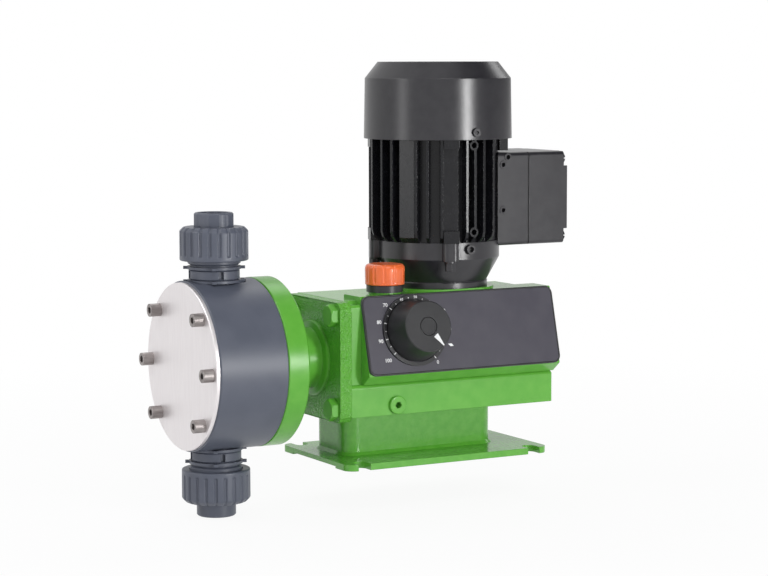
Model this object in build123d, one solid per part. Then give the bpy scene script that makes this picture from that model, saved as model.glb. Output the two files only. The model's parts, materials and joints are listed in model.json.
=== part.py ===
from build123d import *
import math
import os

# Diaphragm metering pump, in millimetres.
# The origin is the centre of the underside of the base plate, +Z is up and -X points to the dosing head.

# Main axes
motor_x = 22.5
head_z = 85.7

# Clearances
gap_move = 0.3
gap_run = 0.05
gap_hole = 0.5

# Base plate and pedestal
plate_len = 190.0
plate_wid = 120.0
plate_t = 5.3
plate_corner_r = 9.0
relief_len = 76.0
relief_depth = 1.6
slot_pitch_x = 160.0
slot_pitch_y = 104.0
slot_w = 11.0
pedestal_x0 = -76.5
pedestal_x1 = 65.5
pedestal_y0 = -20.0
pedestal_y1 = 36.0
pedestal_top_z = 41.0
pedestal_corner_r = 13.0
pedestal_wall = 7.0
pedestal_roof = 8.0
rib_w = 16.0
foot_fillet = 2.5
relief_in = 14.0
foot_screw_r = 4.0
foot_screw_in = 16.0
foot_screw_head_r = 6.4
foot_screw_head = 8.0
foot_screw_hex = 6.0
foot_screw_cover = 1.5

# Gear housing
housing_front_x = -85.3
housing_half_y = 48.0
upper_wall_y = -36.0
pillar_y = -44.0
pillar_corner_r = 2.5
ledge_z = 67.0
housing_top_z = 134.3
housing_floor_z = 48.0
housing_roof_t = 7.0
front_wall_t = 13.0
rear_wall_t = 8.0
cavity_half_y = 30.0
housing_fillet = 3.0
carrier_fillet = 1.5
cavity_corner_r = 6.0
lower_bearing_lift = 3.0
bearing_seat_wall = 4.0
boss_top_z = 139.5
boss_r = 46.5
adapter_spigot_r = 30.0
adapter_hub_wall = 6.0

# Panel and knob
panel_x0 = -74.5
panel_len = 180.9
panel_high = 65.0
panel_lean = 14.35
panel_mid_y = -52.1
panel_mid_z = 106.75
panel_t = 2.0
panel_corner_r = 6.5
plateau_y1 = -15.0
knob_from_left = 45.0
knob_up = 2.2
knob_base_r = 25.3
knob_face_r = 21.0
knob_high = 24.0
knob_cap_r = 7.6
knob_skirt = 2.0
knob_bevel = 0.8
knob_recess = 3.0
knob_bottom = 5.0
ring_r = 29.0
ring_t = 1.6
spindle_r = 4.0
spindle_in = 45.0
stop_r = 5.0
stop_offset = 1.5
stop_len = 8.0
pointer_deg = -54.0
pointer_start_r = 9.2
pointer_half_w = 2.3
pointer_tip_half_w = 0.4
pointer_t = 0.5

# Vent and drain
vent_x = -44.0
vent_y = -28.5
vent_boss_r = 13.4
vent_boss_high = 1.8
collar_r = 15.0
collar_high = 5.5
vent_neck_r = 9.0
vent_bore_r = 5.0
vent_neck_high = 9.0
cap_r = 16.4
cap_high = 16.9
cap_chamfer = 2.5
cap_ribs = 12
cap_groove_r = 1.5
drain_x = -43.8
drain_z = 49.0
drain_r = 7.5
drain_thread_r = 6.5
drain_head = 3.0
drain_hex = 5.0
drain_hex_depth = 6.0

# Lantern between housing and head
flange_size = 97.0
flange_t = 10.5
flange_corner_r = 7.0
flange_bolt_pitch = 76.0
flange_bolt_r = 5.0
flange_bolt_af = 16.0
flange_bolt_head = 6.4
spigot_r = 31.0
spigot_len = 4.0
neck_len = 36.3
neck_r = 25.0
neck_step_r = 31.0
neck_step_t = 2.5
neck_fillet = 4.0
neck_bore_r = 16.5
neck_drain_r = 2.5
disc_t = 18.7
disc_r = 68.2
disc_bevel = 1.5
screw_end_t = 4.0

# Dosing head
head_t = 58.5
head_r = 68.0
head_screw_pcd = 117.3
head_screw_r = 3.0
head_screw_head_r = 5.2
head_screw_head = 9.0
head_screw_hex = 5.1
head_screw_hex_depth = 5.4
head_screw_angles = (0, 45, 135, 180, 225, 315)
cover_t = 3.0
cover_r = 66.7
chamber_r = 46.0
chamber_depth = 9.0
chamber_floor_r = 30.0
channel_r = 9.0
side_channel_r = 7.0
diaphragm_t = 3.0
diaphragm_r = 66.0
clamp_r = 30.0
clamp_t = 5.0
clamp_step = 2.0
clamp_room = 4.0
roll_in = 7.0
roll_w = 4.0
roll_high = 1.8

# Valves and unions
valve_in = 32.1
port_r = 17.0
port_depth = 9.0
port_flat = 2.0
lug_ring_r = 21.5
lug_tip_r = 24.5
lug_w = 3.4
lug_ring_t = 2.2
lug_ring_gap = 8.5
lug_count = 4
lug_deg = 65.0
band_r = 20.3
notch_w = 4.0
notch_in_r = 17.5
notch_deg = 81.0
neck_groove = 1.2
thread_r = 21.0
valve_bore_r = 9.5
nut_start = 15.5
nut_len = 26.6
nut_r = 27.34
nut_rim = 4.0
nut_groove = 1.2
nut_groove_w = 2.5
nut_ribs = 22
nut_chamfer = 3.0
discharge_nut_deg = 8.9
suction_nut_deg = 1.1
nut_top_t = 4.0
insert_collar_r = 20.0
insert_collar_t = 4.0
insert_r = 15.7
insert_end = 53.3
stub_flats = 12
stub_corner_r = 16.1
stub_deg = 21.2
stub_lift = 1.0
pipe_r = 12.5
pipe_depth = 18.0
ball_r = 8.0
seat_hole_r = 6.5
seat_t = 3.0
ball_lift = 4.0
seal_wire_r = 1.2
stop_ring_t = 3.0
stop_ring_w = 2.0
stop_bar_w = 2.4

# Tappet line and gear
rod_r = 7.0
bush_r = 12.0
bush_room = 12.0
bush_len = 7.5
collar_on_rod_r = 14.0
collar_on_rod_t = 4.0
rod_collar_in = 7.0
spring_r = 12.0
spring_wire_r = 1.25
spring_turns = 6
spring_gap = 0.2
wheel_teeth = 20
gear_module = 2.2
dedendum_share = 1.22
tooth_root_deg = 3.9
tooth_tip_deg = 1.7
wheel_holes = 5
wheel_hole_r = 3.2
wheel_hole_pitch_r = 12.5
worm_pitch_r = 8.0
worm_tip_r = 9.5
worm_root_r = 5.4
worm_turns = 4
worm_end = 5.0
worm_root_half = 1.5
worm_tip_half = 0.75
worm_root_lap = 0.8
worm_shaft_r = 3.5
wheel_width = 12.0
wheel_side_gap = 2.0
gear_shaft_r = 6.0
eccentric_r = 14.0
eccentricity = 2.0
eccentric_w = 10.0
arm_high = 10.0
crossbar_t = 8.0
bearing_r = 13.0
bearing_w = 8.0
race_share = 0.35
race_groove = 1.0
gear_bearing_y = 34.0

# Motor
ring_low_r = 41.2
ring_bevel = 0.6
cone_start_z = 144.6
cone_end_z = 162.8
shield_out = 1.2
shield_top_z = 178.0
shield_floor_t = 3.0
shield_hub_wall = 7.5
lug_lift = 0.5
lug_out = 8.0
lug_corner_r = 4.0
shield_bolt_r = 2.5
bolt_circle_out = 3.6
bolt_head_h = 8.0
bolt_head_af = 8.0
washer_r = 4.6
washer_t = 1.4
motor_top_z = 262.0
frame_in_r = 45.0
frame_wall = 5.0
fin_high = 8.7
fin_t = 2.3
fin_foot_bevel = 6.5
fin_foot_high = 10.0
fin_degs = (188, 199.5, 222, 231.5, 243, 264, 271.3, 280, 291)
column_room_deg = 7.5
column_degs = (71.0, 161.0, 251.0)
column_w = 13.0
column_core = 3.0
column_foot_h = 10.0
column_crown_h = 7.0
pad_deg = 213.6
pad_w = 13.5
pad_drop = 1.6
eye_r = 4.0
eye_hole_r = 2.3
eye_low_lift = 9.0
eye_top_drop = 4.5
shield_eye_drop = 5.5
shield_eye_out = 3.5
box_lug_x0 = 42.0
box_lug_x1 = 50.0
box_lug_y0 = -30.0
box_lug_y1 = -17.0
box_lug_high = 10.5
motor_shaft_r = 7.0
shaft_step_lift = 12.0
motor_bearing_r = 17.5
motor_bearing_w = 11.0
lower_motor_bearing_z = 158.0
upper_motor_bearing_z = 257.0
seal_seat_r = 15.0
shaft_seal_t = 7.0
seal_lip_t = 2.0
air_gap = 0.6
stator_depth = 17.0
rotor_z0 = 186.0
rotor_z1 = 244.0
rotor_ring_t = 5.0
rotor_ring_in = 7.0
winding_high = 10.0
winding_in = 3.0
winding_bevel = 3.0
top_shield_t = 3.0
top_shield_rim = 6.0
top_hub_wall = 4.0
top_hub_high = 8.0
cowl_lug_len = 8.0
cowl_lug_w = 12.0
cowl_lug_high = 11.0
cowl_out = 2.8
cowl_taper = 0.9
cowl_shoulder_z = 311.5
cowl_shoulder_w = 10.6
cowl_top_z = 325.0
cowl_wall = 1.6
cowl_screw_z = 268.0
cowl_screw_r = 2.0
cowl_screw_head_r = 3.6
cowl_screw_head = 2.2
cowl_screw_hex = 2.5
cowl_screw_degs = (90, 270)
grille_first_r = 14.0
grille_pitch = 8.0
grille_slot = 4.0
grille_rings = 4
grille_spoke_w = 4.4
fan_tip_gap = 2.0
fan_bore_r = 5.5
fan_hub_wall = 5.5
fan_hub_drop = 3.0
fan_disc_t = 2.0
fan_z0 = 282.0
fan_high = 24.0
fan_blades = 8
fan_blade_t = 2.0

# Terminal box
box_half_y = 37.0
box_z0 = 173.0
box_z1 = 250.0
box_back_in = 14.0
box_seam_out = 15.5
box_lid_depth = 39.5
box_wall = 3.0
box_fillet = 3.0
box_saddle_out = 1.2
saddle_wall = 4.0
saddle_top_drop = 4.0
wire_hole_r = 9.0
entry_r = 7.0
entry_in = 12.0
entry_lift = 38.5
entry_hex = 18.0
entry_hex_t = 4.0
plug_boss_r = 3.2
plug_boss_out = 0.8
plug_hole_r = 1.8
plug_hole_depth = 3.0
plug_datum_r = 51.2
plug_places = ((41.0, 29.3), (40.9, 67.0), (45.6, 73.2))
board_w = 36.0
board_high = 52.0
board_t = 4.0
stud_r = 2.5
stud_len = 10.0
stud_y = 12.0
stud_z = 18.0
gasket_t = 1.0
gasket_in = 0.6
lid_step = 4.0
lid_edge_r = 1.5
lid_screw_in = 6.0
lid_screw_r = 2.0
lid_screw_head_r = 4.0
lid_screw_head = 2.6
lid_screw_slot = 1.0
lid_screw_grip = 8.0
column_r = 5.5
corner_r = 9.0
corner_shift = 2.0

# Derived places
housing_rear_x = panel_x0 + panel_len
flange_front_x = housing_front_x - flange_t
disc_rear_x = flange_front_x - neck_len
disc_front_x = disc_rear_x - disc_t
head_front_x = disc_front_x - head_t
cover_front_x = head_front_x - cover_t
valve_x = disc_front_x - valve_in
wheel_pitch_r = wheel_teeth * gear_module / 2
gear_x = motor_x - worm_pitch_r - wheel_pitch_r
worm_lead = math.pi * gear_module
follower_x = gear_x - eccentric_r - eccentricity - gap_move
knob_x = panel_x0 + knob_from_left
cavity_top_z = housing_top_z - housing_roof_t
lean = math.radians(panel_lean)
panel_plane = Plane(
    origin=(panel_x0 + panel_len / 2, panel_mid_y, panel_mid_z),
    x_dir=(1, 0, 0),
    z_dir=(0, -math.cos(lean), math.sin(lean)),
)
knob_place = panel_plane.location * Pos(knob_x - panel_x0 - panel_len / 2, knob_up, 0)
crossbar_x = knob_x - stop_r - stop_offset - gap_move
panel_back_y = panel_mid_y + panel_high / 2 * math.sin(lean) + panel_t * math.cos(lean)
panel_top_z = panel_mid_z + panel_high / 2 * math.cos(lean) - panel_t * math.sin(lean)
vent_seat_z = panel_top_z + vent_boss_high
pillar_top_z = housing_top_z - housing_fillet
lower_bearing_z = housing_floor_z + lower_bearing_lift
bush_front_x = disc_front_x + diaphragm_t + clamp_t + 3
rod_collar_x = housing_front_x - rod_collar_in
valve_top = head_r + nut_start + nut_len - nut_top_t - insert_collar_t - gap_move
worm_top_z = head_z + worm_turns / 2 * worm_lead + worm_end
lug_z = cone_end_z + lug_lift
frame_r = frame_in_r + frame_wall
fin_r = frame_r + fin_high
shield_r = frame_r + shield_out
cone_end_r = shield_r - ring_bevel
lug_reach = frame_r + lug_out
bolt_circle_r = frame_r + bolt_circle_out
column_core_r = frame_r + column_core
rotor_r = frame_in_r - stator_depth - air_gap
cowl_low_r = fin_r + cowl_out
cowl_shoulder_r = cowl_low_r - cowl_taper
cowl_top_r = cowl_shoulder_r - cowl_shoulder_w
fan_r = cowl_top_r - fan_tip_gap
box_saddle_r = frame_r + box_saddle_out
box_back = frame_r - box_back_in
box_seam = frame_r + box_seam_out
box_seam_x = motor_x + box_seam
lid_front_x = box_seam_x + box_lid_depth
box_mid_z = (box_z0 + box_z1) / 2
entry_z = box_z0 + entry_lift


def block(x0, x1, y0, y1, z0, z1):
    """Box between two corners."""
    size = Box(x1 - x0, y1 - y0, z1 - z0)
    return Pos((x0 + x1) / 2, (y0 + y1) / 2, (z0 + z1) / 2) * size


def rod_along_x(radius, x0, x1, y=0.0, z=head_z):
    """Cylinder from x0 to x1."""
    return Pos((x0 + x1) / 2, y, z) * Rot(0, 90, 0) * Cylinder(radius, x1 - x0)


def rod_along_y(radius, y0, y1, x=0.0, z=head_z):
    """Cylinder from y0 to y1."""
    return Pos(x, (y0 + y1) / 2, z) * Rot(90, 0, 0) * Cylinder(radius, y1 - y0)


def rod_along_z(radius, z0, z1, x=motor_x, y=0.0):
    """Cylinder from z0 to z1."""
    return Pos(x, y, (z0 + z1) / 2) * Cylinder(radius, z1 - z0)


def turned_z(points, x=motor_x, y=0.0):
    """Ring or disc whose section is the polygon of (radius, z) points."""
    section = make_face(Polyline(*points, close=True))
    return Pos(x, y, 0) * revolve(Plane.XZ * section, Axis.Z)


def turned_x(points, z=head_z):
    """Ring or disc about the head axis whose section is the polygon of (x, radius) points."""
    section = make_face(Polyline(*points, close=True))
    return Pos(0, 0, z) * revolve(section, Axis.X)


def hexagon(across_flats, height, lift=0.0):
    """Hexagonal prism standing on z = lift."""
    outline = RegularPolygon(across_flats / 2, 6, major_radius=False)
    return Pos(0, 0, lift) * extrude(outline, height)


def around(shape, degrees, x=motor_x, y=0.0):
    """Copy of a shape turned about a vertical axis."""
    return Pos(x, y, 0) * Rot(0, 0, degrees) * Pos(-x, -y, 0) * shape


def base_frame():
    """Base plate with open slots and, in the same casting, the hollow pedestal."""
    outline = RectangleRounded(plate_len, plate_wid, plate_corner_r)
    plate = extrude(outline, plate_t)
    for sx in (-1, 1):
        for sy in (-1, 1):
            slot_x = sx * slot_pitch_x / 2
            slot_y = sy * slot_pitch_y / 2
            edge_y = sy * plate_wid / 2
            low, high = sorted((slot_y, edge_y + sy))
            plate -= rod_along_z(slot_w / 2, -1, plate_t + 1, slot_x, slot_y)
            plate -= block(slot_x - slot_w / 2, slot_x + slot_w / 2, low, high, -1, plate_t + 1)
    for sx in (-1, 1):
        end_x = sx * plate_len / 2
        low, high = sorted((end_x + sx, end_x - sx * relief_in))
        plate -= block(low, high, -relief_len / 2, relief_len / 2, -1, relief_depth)
    length = pedestal_x1 - pedestal_x0
    width = pedestal_y1 - pedestal_y0
    centre = Pos((pedestal_x0 + pedestal_x1) / 2, (pedestal_y0 + pedestal_y1) / 2, plate_t)
    body = extrude(RectangleRounded(length, width, pedestal_corner_r), pedestal_top_z - plate_t)
    foot = extrude(RectangleRounded(length + 2 * foot_fillet, width + 2 * foot_fillet,
                                    pedestal_corner_r + foot_fillet), foot_fillet, taper=45)
    shape = plate + centre * body + centre * foot
    hollow = RectangleRounded(length - 2 * pedestal_wall, width - 2 * pedestal_wall,
                              pedestal_corner_r - pedestal_wall)
    centre_low = Pos((pedestal_x0 + pedestal_x1) / 2, (pedestal_y0 + pedestal_y1) / 2, -1)
    core = centre_low * extrude(hollow, pedestal_top_z - pedestal_roof + 1)
    core -= block(-rib_w / 2, rib_w / 2, pedestal_y0, pedestal_y1, -2, pedestal_top_z)
    shape -= core
    for x, y in foot_screw_places():
        shape -= rod_along_z(foot_screw_r + gap_hole, 0, pedestal_top_z + 1, x, y)
    return shape


def foot_screw_places():
    """Centres of the four screws between pedestal and gear housing."""
    xs = (pedestal_x0 + foot_screw_in, pedestal_x1 - foot_screw_in)
    ys = (pedestal_y0 + foot_screw_in, pedestal_y1 - foot_screw_in)
    return [(x, y) for x in xs for y in ys]


def foot_screws():
    """Socket screws from inside the pedestal up into the housing floor."""
    shape = Part()
    roof_z = pedestal_top_z - pedestal_roof
    for x, y in foot_screw_places():
        screw = rod_along_z(foot_screw_r, roof_z - 1, housing_floor_z - foot_screw_cover, x, y)
        screw += rod_along_z(foot_screw_head_r, roof_z - foot_screw_head, roof_z, x, y)
        screw -= Pos(x, y, roof_z - foot_screw_head) * hexagon(foot_screw_hex, foot_screw_head / 2)
        shape += screw
    return shape


def carrier_section():
    """Section of the sloped panel carrier and the raised strip behind it, in Y and Z."""
    half = panel_high / 2
    up_y = math.sin(lean)
    up_z = math.cos(lean)
    top_y = panel_back_y
    top_z = panel_top_z
    low_y = panel_mid_y - half * up_y + panel_t * up_z
    low_z = panel_mid_z - half * up_z - panel_t * up_y
    edge = Polyline(
        (plateau_y1, housing_top_z - 1), (plateau_y1, top_z), (top_y, top_z), (low_y, low_z),
        (-housing_half_y, ledge_z), (upper_wall_y + 2, ledge_z - 1), (upper_wall_y + 2, housing_top_z - 1),
        close=True,
    )
    return make_face(edge)


def gear_housing():
    """Cast gear housing, hollow, with its panel carrier, bosses and bores."""
    lower = block(housing_front_x, housing_rear_x, -housing_half_y, housing_half_y, pedestal_top_z, ledge_z)
    lower = fillet(lower.edges().filter_by(Axis.Z).group_by(Axis.X)[-1], housing_fillet)
    lower = fillet(lower.edges().filter_by(Axis.X).group_by(Axis.Z)[-1].sort_by(Axis.Y)[0], housing_fillet)
    upper = block(housing_front_x, housing_rear_x, upper_wall_y, housing_half_y, ledge_z - 4, housing_top_z)
    upper = fillet(upper.edges().filter_by(Axis.X).group_by(Axis.Z)[-1], housing_fillet)
    carrier = extrude(Plane.YZ * carrier_section(), panel_len)
    carrier = fillet(carrier.edges().filter_by(Axis.X).sort_by(Axis.Y)[0:1], carrier_fillet)
    carrier = fillet(carrier.edges().filter_by(Axis.X).group_by(Axis.Z)[-1], carrier_fillet)
    pillar = block(housing_front_x, panel_x0 + 1, pillar_y, upper_wall_y + 2, ledge_z - 4, pillar_top_z)
    pillar = fillet(pillar.edges().filter_by(Axis.X).group_by(Axis.Z)[-1].sort_by(Axis.Y)[0], pillar_corner_r)
    shape = lower + upper + pillar + Pos(panel_x0, 0, 0) * carrier
    boss = rod_along_z(boss_r, housing_top_z - 1, boss_top_z)
    room = block(housing_front_x, housing_rear_x, panel_back_y, housing_half_y, housing_floor_z, boss_top_z)
    shape += boss & room
    shape += rod_along_z(vent_boss_r, housing_top_z - 1, vent_seat_z, vent_x, vent_y)
    cavity = block(housing_front_x + front_wall_t, housing_rear_x - rear_wall_t,
                   -cavity_half_y, cavity_half_y, housing_floor_z, cavity_top_z)
    shape -= fillet(cavity.edges().filter_by(Axis.Z), cavity_corner_r)
    shape -= rod_along_x(spigot_r + gap_run, housing_front_x - 1, housing_front_x + spigot_len + gap_hole)
    shape -= rod_along_x(bush_r, housing_front_x, housing_front_x + front_wall_t + 1)
    shape -= rod_along_z(adapter_spigot_r + gap_run, cavity_top_z - 1, boss_top_z + 1)
    shape += rod_along_z(bearing_r + bearing_seat_wall, housing_floor_z - 2, lower_bearing_z + bearing_w - 2)
    shape -= rod_along_z(bearing_r, lower_bearing_z, lower_bearing_z + bearing_w + 1)
    for side in (-1, 1):
        y0, y1 = sorted((side * (cavity_half_y - 1), side * (gear_bearing_y + bearing_w / 2)))
        shape -= rod_along_y(bearing_r, y0, y1, gear_x, head_z)
    shape -= rod_along_z(vent_neck_r + gap_hole, cavity_top_z - 1, vent_seat_z + 1, vent_x, vent_y)
    shape -= rod_along_y(drain_thread_r, -housing_half_y - 1, -cavity_half_y + 1, drain_x, drain_z)
    shape -= knob_place * Pos(0, 0, -spindle_in / 2) * Cylinder(spindle_r + gap_move, spindle_in + 20)
    for y, z in flange_bolt_places():
        shape -= rod_along_x(flange_bolt_r, housing_front_x - 1, housing_front_x + front_wall_t - 1, y, z)
    for x, y in foot_screw_places():
        shape -= rod_along_z(foot_screw_r, pedestal_top_z - 1, housing_floor_z - foot_screw_cover, x, y)
    return shape


def flange_bolt_places():
    """Centres of the four flange bolts in Y and Z."""
    half = flange_bolt_pitch / 2
    return [(sy * half, head_z + sz * half) for sy in (-1, 1) for sz in (-1, 1)]


def drain_plug():
    """Threaded plug with a collar and a hexagon socket."""
    face_y = -housing_half_y - drain_head
    plug = rod_along_y(drain_r, face_y, -housing_half_y, drain_x, drain_z)
    plug = fillet(plug.edges().filter_by(GeomType.CIRCLE).sort_by(Axis.Y)[0], 1.0)
    plug += rod_along_y(drain_thread_r, -housing_half_y - 1, -cavity_half_y, drain_x, drain_z)
    depth = drain_hex_depth
    socket = Pos(drain_x, face_y + depth, drain_z) * Rot(90, 0, 0) * hexagon(drain_hex, depth + 1)
    return plug - socket


def vent_collar():
    """Collar screwed into the housing top, with the neck that the cap turns on."""
    collar_top = vent_seat_z + collar_high
    neck_top = collar_top + vent_neck_high
    ring = [
        (vent_bore_r, cavity_top_z), (vent_neck_r, cavity_top_z), (vent_neck_r, vent_seat_z),
        (collar_r, vent_seat_z), (collar_r, collar_top), (vent_neck_r + 1, collar_top),
        (vent_neck_r + 1, neck_top), (vent_bore_r, neck_top),
    ]
    return turned_z(ring, vent_x, vent_y)


def vent_cap():
    """Ribbed screw cap, hollow underneath."""
    z0 = vent_seat_z + collar_high + gap_move
    z1 = z0 + cap_high
    outline = [(0, z0), (cap_r - 0.6, z0), (cap_r, z0 + 1), (cap_r, z1 - cap_chamfer),
               (cap_r - cap_chamfer, z1), (0, z1)]
    cap = turned_z(outline, vent_x, vent_y)
    cap -= rod_along_z(vent_neck_r + 1 + gap_move, z0 - 1, z0 + vent_neck_high + gap_hole, vent_x, vent_y)
    for i in range(cap_ribs):
        groove = rod_along_z(cap_groove_r, z0 + 2, z1 + 1, vent_x + cap_r + 0.5, vent_y)
        cap -= around(groove, (i + 0.5) * 360 / cap_ribs, vent_x, vent_y)
    return cap


def operating_panel():
    """Panel plate with rounded corners."""
    plate = extrude(RectangleRounded(panel_len, panel_high, panel_corner_r), -panel_t)
    plate = panel_plane * plate
    return plate - knob_place * Cylinder(spindle_r + gap_move, 4 * panel_t)


def scale_ring():
    """Ring on the panel round the knob."""
    ring = Cylinder(ring_r, ring_t) - Cylinder(knob_base_r + 2 * gap_move, 2 * ring_t)
    return knob_place * Pos(0, 0, ring_t / 2) * ring


def adjusting_knob():
    """Slightly conical knob with a recess for the centre disc."""
    lift = gap_move
    floor = knob_high - knob_recess
    side = [(0, lift), (knob_base_r, lift), (knob_base_r, lift + knob_skirt),
            (knob_face_r, knob_high - knob_bevel), (knob_face_r - knob_bevel, knob_high),
            (knob_cap_r, knob_high), (knob_cap_r, floor), (0, floor)]
    body = revolve(Plane.XZ * make_face(Polyline(*side, close=True)), Axis.Z)
    body -= Cylinder(spindle_r, 2 * (knob_high - knob_bottom))
    return knob_place * body


def knob_cap():
    """Centre disc of the knob."""
    disc = Cylinder(knob_cap_r - gap_hole, knob_recess)
    disc -= Pos(0, 0, knob_recess / 2) * Cylinder(knob_cap_r - 1.6, 0.6)
    return knob_place * Pos(0, 0, knob_high - knob_recess / 2) * disc


def knob_pointer():
    """White wedge inlaid on the face of the knob."""
    tip = knob_face_r - 1
    wedge = make_face(Polyline(
        (pointer_start_r, -pointer_half_w), (tip, -pointer_tip_half_w), (tip, pointer_tip_half_w),
        (pointer_start_r, pointer_half_w), close=True,
    ))
    return knob_place * Pos(0, 0, knob_high) * Rot(0, 0, pointer_deg) * extrude(wedge, pointer_t)


def adjusting_spindle():
    """Spindle under the knob; its eccentric end limits the return of the tappet."""
    top = knob_high - knob_bottom
    bar = Pos(0, 0, (top - spindle_in) / 2) * Cylinder(spindle_r, top + spindle_in)
    stop = Pos(stop_offset, 0, -spindle_in + stop_len / 2) * Cylinder(stop_r, stop_len)
    return knob_place * (bar + stop)


def lantern():
    """Square flange, neck and round disc in one casting, with the bores of the tappet line."""
    plate = extrude(Plane.YZ * RectangleRounded(flange_size, flange_size, flange_corner_r), flange_t)
    shape = Pos(flange_front_x, 0, head_z) * plate
    outline = [
        (disc_front_x, 0), (disc_front_x, disc_r - 0.8), (disc_front_x + 0.8, disc_r),
        (disc_rear_x - disc_bevel, disc_r), (disc_rear_x, disc_r - disc_bevel),
        (disc_rear_x, neck_r + neck_fillet + 1), (disc_rear_x + neck_fillet, neck_r),
        (flange_front_x - neck_step_t - 1, neck_r),
        (flange_front_x - neck_step_t, neck_step_r - 1), (flange_front_x - neck_step_t + 1, neck_step_r),
        (flange_front_x + 1, neck_step_r), (housing_front_x, spigot_r),
        (housing_front_x + spigot_len, spigot_r), (housing_front_x + spigot_len, 0),
    ]
    shape += turned_x(outline)
    shape -= rod_along_x(diaphragm_r, disc_front_x - 1, disc_front_x + diaphragm_t)
    shape -= rod_along_x(clamp_r + clamp_room, disc_front_x, disc_front_x + diaphragm_t + clamp_t + 2)
    shape -= rod_along_x(bush_r, disc_front_x, disc_rear_x + 5)
    shape -= rod_along_x(neck_bore_r, bush_front_x + bush_room, housing_front_x + spigot_len + 1)
    for y, z in flange_bolt_places():
        shape -= rod_along_x(flange_bolt_r + gap_hole, flange_front_x - 1, housing_front_x + 1, y, z)
    for y, z in head_screw_places():
        shape -= rod_along_x(head_screw_r, disc_front_x - 1, disc_rear_x - screw_end_t + 1, y, z)
    shape -= rod_along_z(neck_drain_r, head_z - neck_r - 3, head_z, disc_rear_x + neck_len / 2, 0)
    return shape


def flange_bolts():
    """Hexagon bolts through the square flange into the housing."""
    shape = Part()
    for y, z in flange_bolt_places():
        bolt = rod_along_x(flange_bolt_r, flange_front_x, housing_front_x + front_wall_t - 2, y, z)
        head = Pos(flange_front_x, y, z) * Rot(0, -90, 0) * hexagon(flange_bolt_af, flange_bolt_head)
        cone = Pos(flange_front_x - flange_bolt_head / 2, y, z) * Rot(0, -90, 0)
        crown = cone * Cone(flange_bolt_af * 0.78, flange_bolt_af * 0.5, flange_bolt_head)
        shape += bolt + (head & crown)
    return shape


def head_screw_places():
    """Centres of the six head screws in Y and Z."""
    radius = head_screw_pcd / 2
    places = []
    for angle in head_screw_angles:
        turn = math.radians(angle)
        places.append((radius * math.cos(turn), head_z + radius * math.sin(turn)))
    return places


def cover_plate():
    """Stainless plate over the front of the head."""
    plate = turned_x([(cover_front_x, 0), (cover_front_x, cover_r - 0.6), (cover_front_x + 0.6, cover_r),
                      (head_front_x, cover_r), (head_front_x, 0)])
    for y, z in head_screw_places():
        plate -= rod_along_x(head_screw_r + gap_hole, cover_front_x - 1, head_front_x + 1, y, z)
    return plate


def head_screws():
    """Socket head screws through cover and head into the lantern."""
    shape = Part()
    head_x = cover_front_x - head_screw_head
    for y, z in head_screw_places():
        screw = rod_along_x(head_screw_r, cover_front_x, disc_rear_x - screw_end_t, y, z)
        screw += rod_along_x(head_screw_head_r, head_x, cover_front_x, y, z)
        socket = Pos(head_x - 1, y, z) * Rot(0, 90, 0) * hexagon(head_screw_hex, head_screw_hex_depth + 1)
        shape += screw - socket
    return shape


def dosing_head():
    """Plastic head with its pumping chamber, vertical channel and two valve ports."""
    body = turned_x([
        (head_front_x, 0), (head_front_x, head_r - 1), (head_front_x + 1, head_r),
        (disc_front_x - 0.8, head_r), (disc_front_x, head_r - 0.8), (disc_front_x, chamber_r),
        (disc_front_x - chamber_depth, chamber_floor_r), (disc_front_x - chamber_depth, 0),
    ])
    body -= rod_along_z(channel_r, head_z - head_r - 1, head_z + head_r + 1, valve_x, 0)
    body -= rod_along_x(side_channel_r, valve_x, disc_front_x - chamber_depth + 1)
    for side in (-1, 1):
        mouth = head_z + side * head_r
        low, high = sorted((mouth - side * port_depth, mouth + side))
        body -= rod_along_z(port_r, low, high, valve_x, 0)
        flat_low, flat_high = sorted((mouth - side * port_flat, mouth + side * 2))
        body -= rod_along_z(lug_tip_r + gap_hole, flat_low, flat_high, valve_x, 0)
    for y, z in head_screw_places():
        body -= rod_along_x(head_screw_r + gap_hole, head_front_x - 1, disc_front_x + 1, y, z)
    return body


def diaphragm():
    """Round diaphragm with one rolled corrugation."""
    x0 = disc_front_x
    x1 = disc_front_x + diaphragm_t
    roll_r = clamp_r + roll_in
    disc = turned_x([
        (x0, 0), (x0, clamp_r + clamp_room), (x0 - roll_high, roll_r), (x0 - roll_high, roll_r + roll_w),
        (x0, chamber_r - 0.5), (x0, diaphragm_r), (x1, diaphragm_r), (x1, chamber_r - 1),
        (x1 - roll_high, roll_r + roll_w), (x1 - roll_high, roll_r), (x1, clamp_r + clamp_room), (x1, 0),
    ])
    for y, z in head_screw_places():
        disc -= rod_along_x(head_screw_r + gap_hole, x0 - 1, x1 + 1, y, z)
    return disc


def diaphragm_clamp():
    """Support disc behind the diaphragm, on the end of the push rod."""
    x0 = disc_front_x + diaphragm_t + 2 * gap_run
    step = clamp_step
    return turned_x([(x0, 0), (x0, clamp_r - step), (x0 + step, clamp_r), (x0 + clamp_t, clamp_r - 3 * step),
                     (x0 + clamp_t, rod_r), (x0 + step, rod_r), (x0 + step, 0)])


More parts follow.
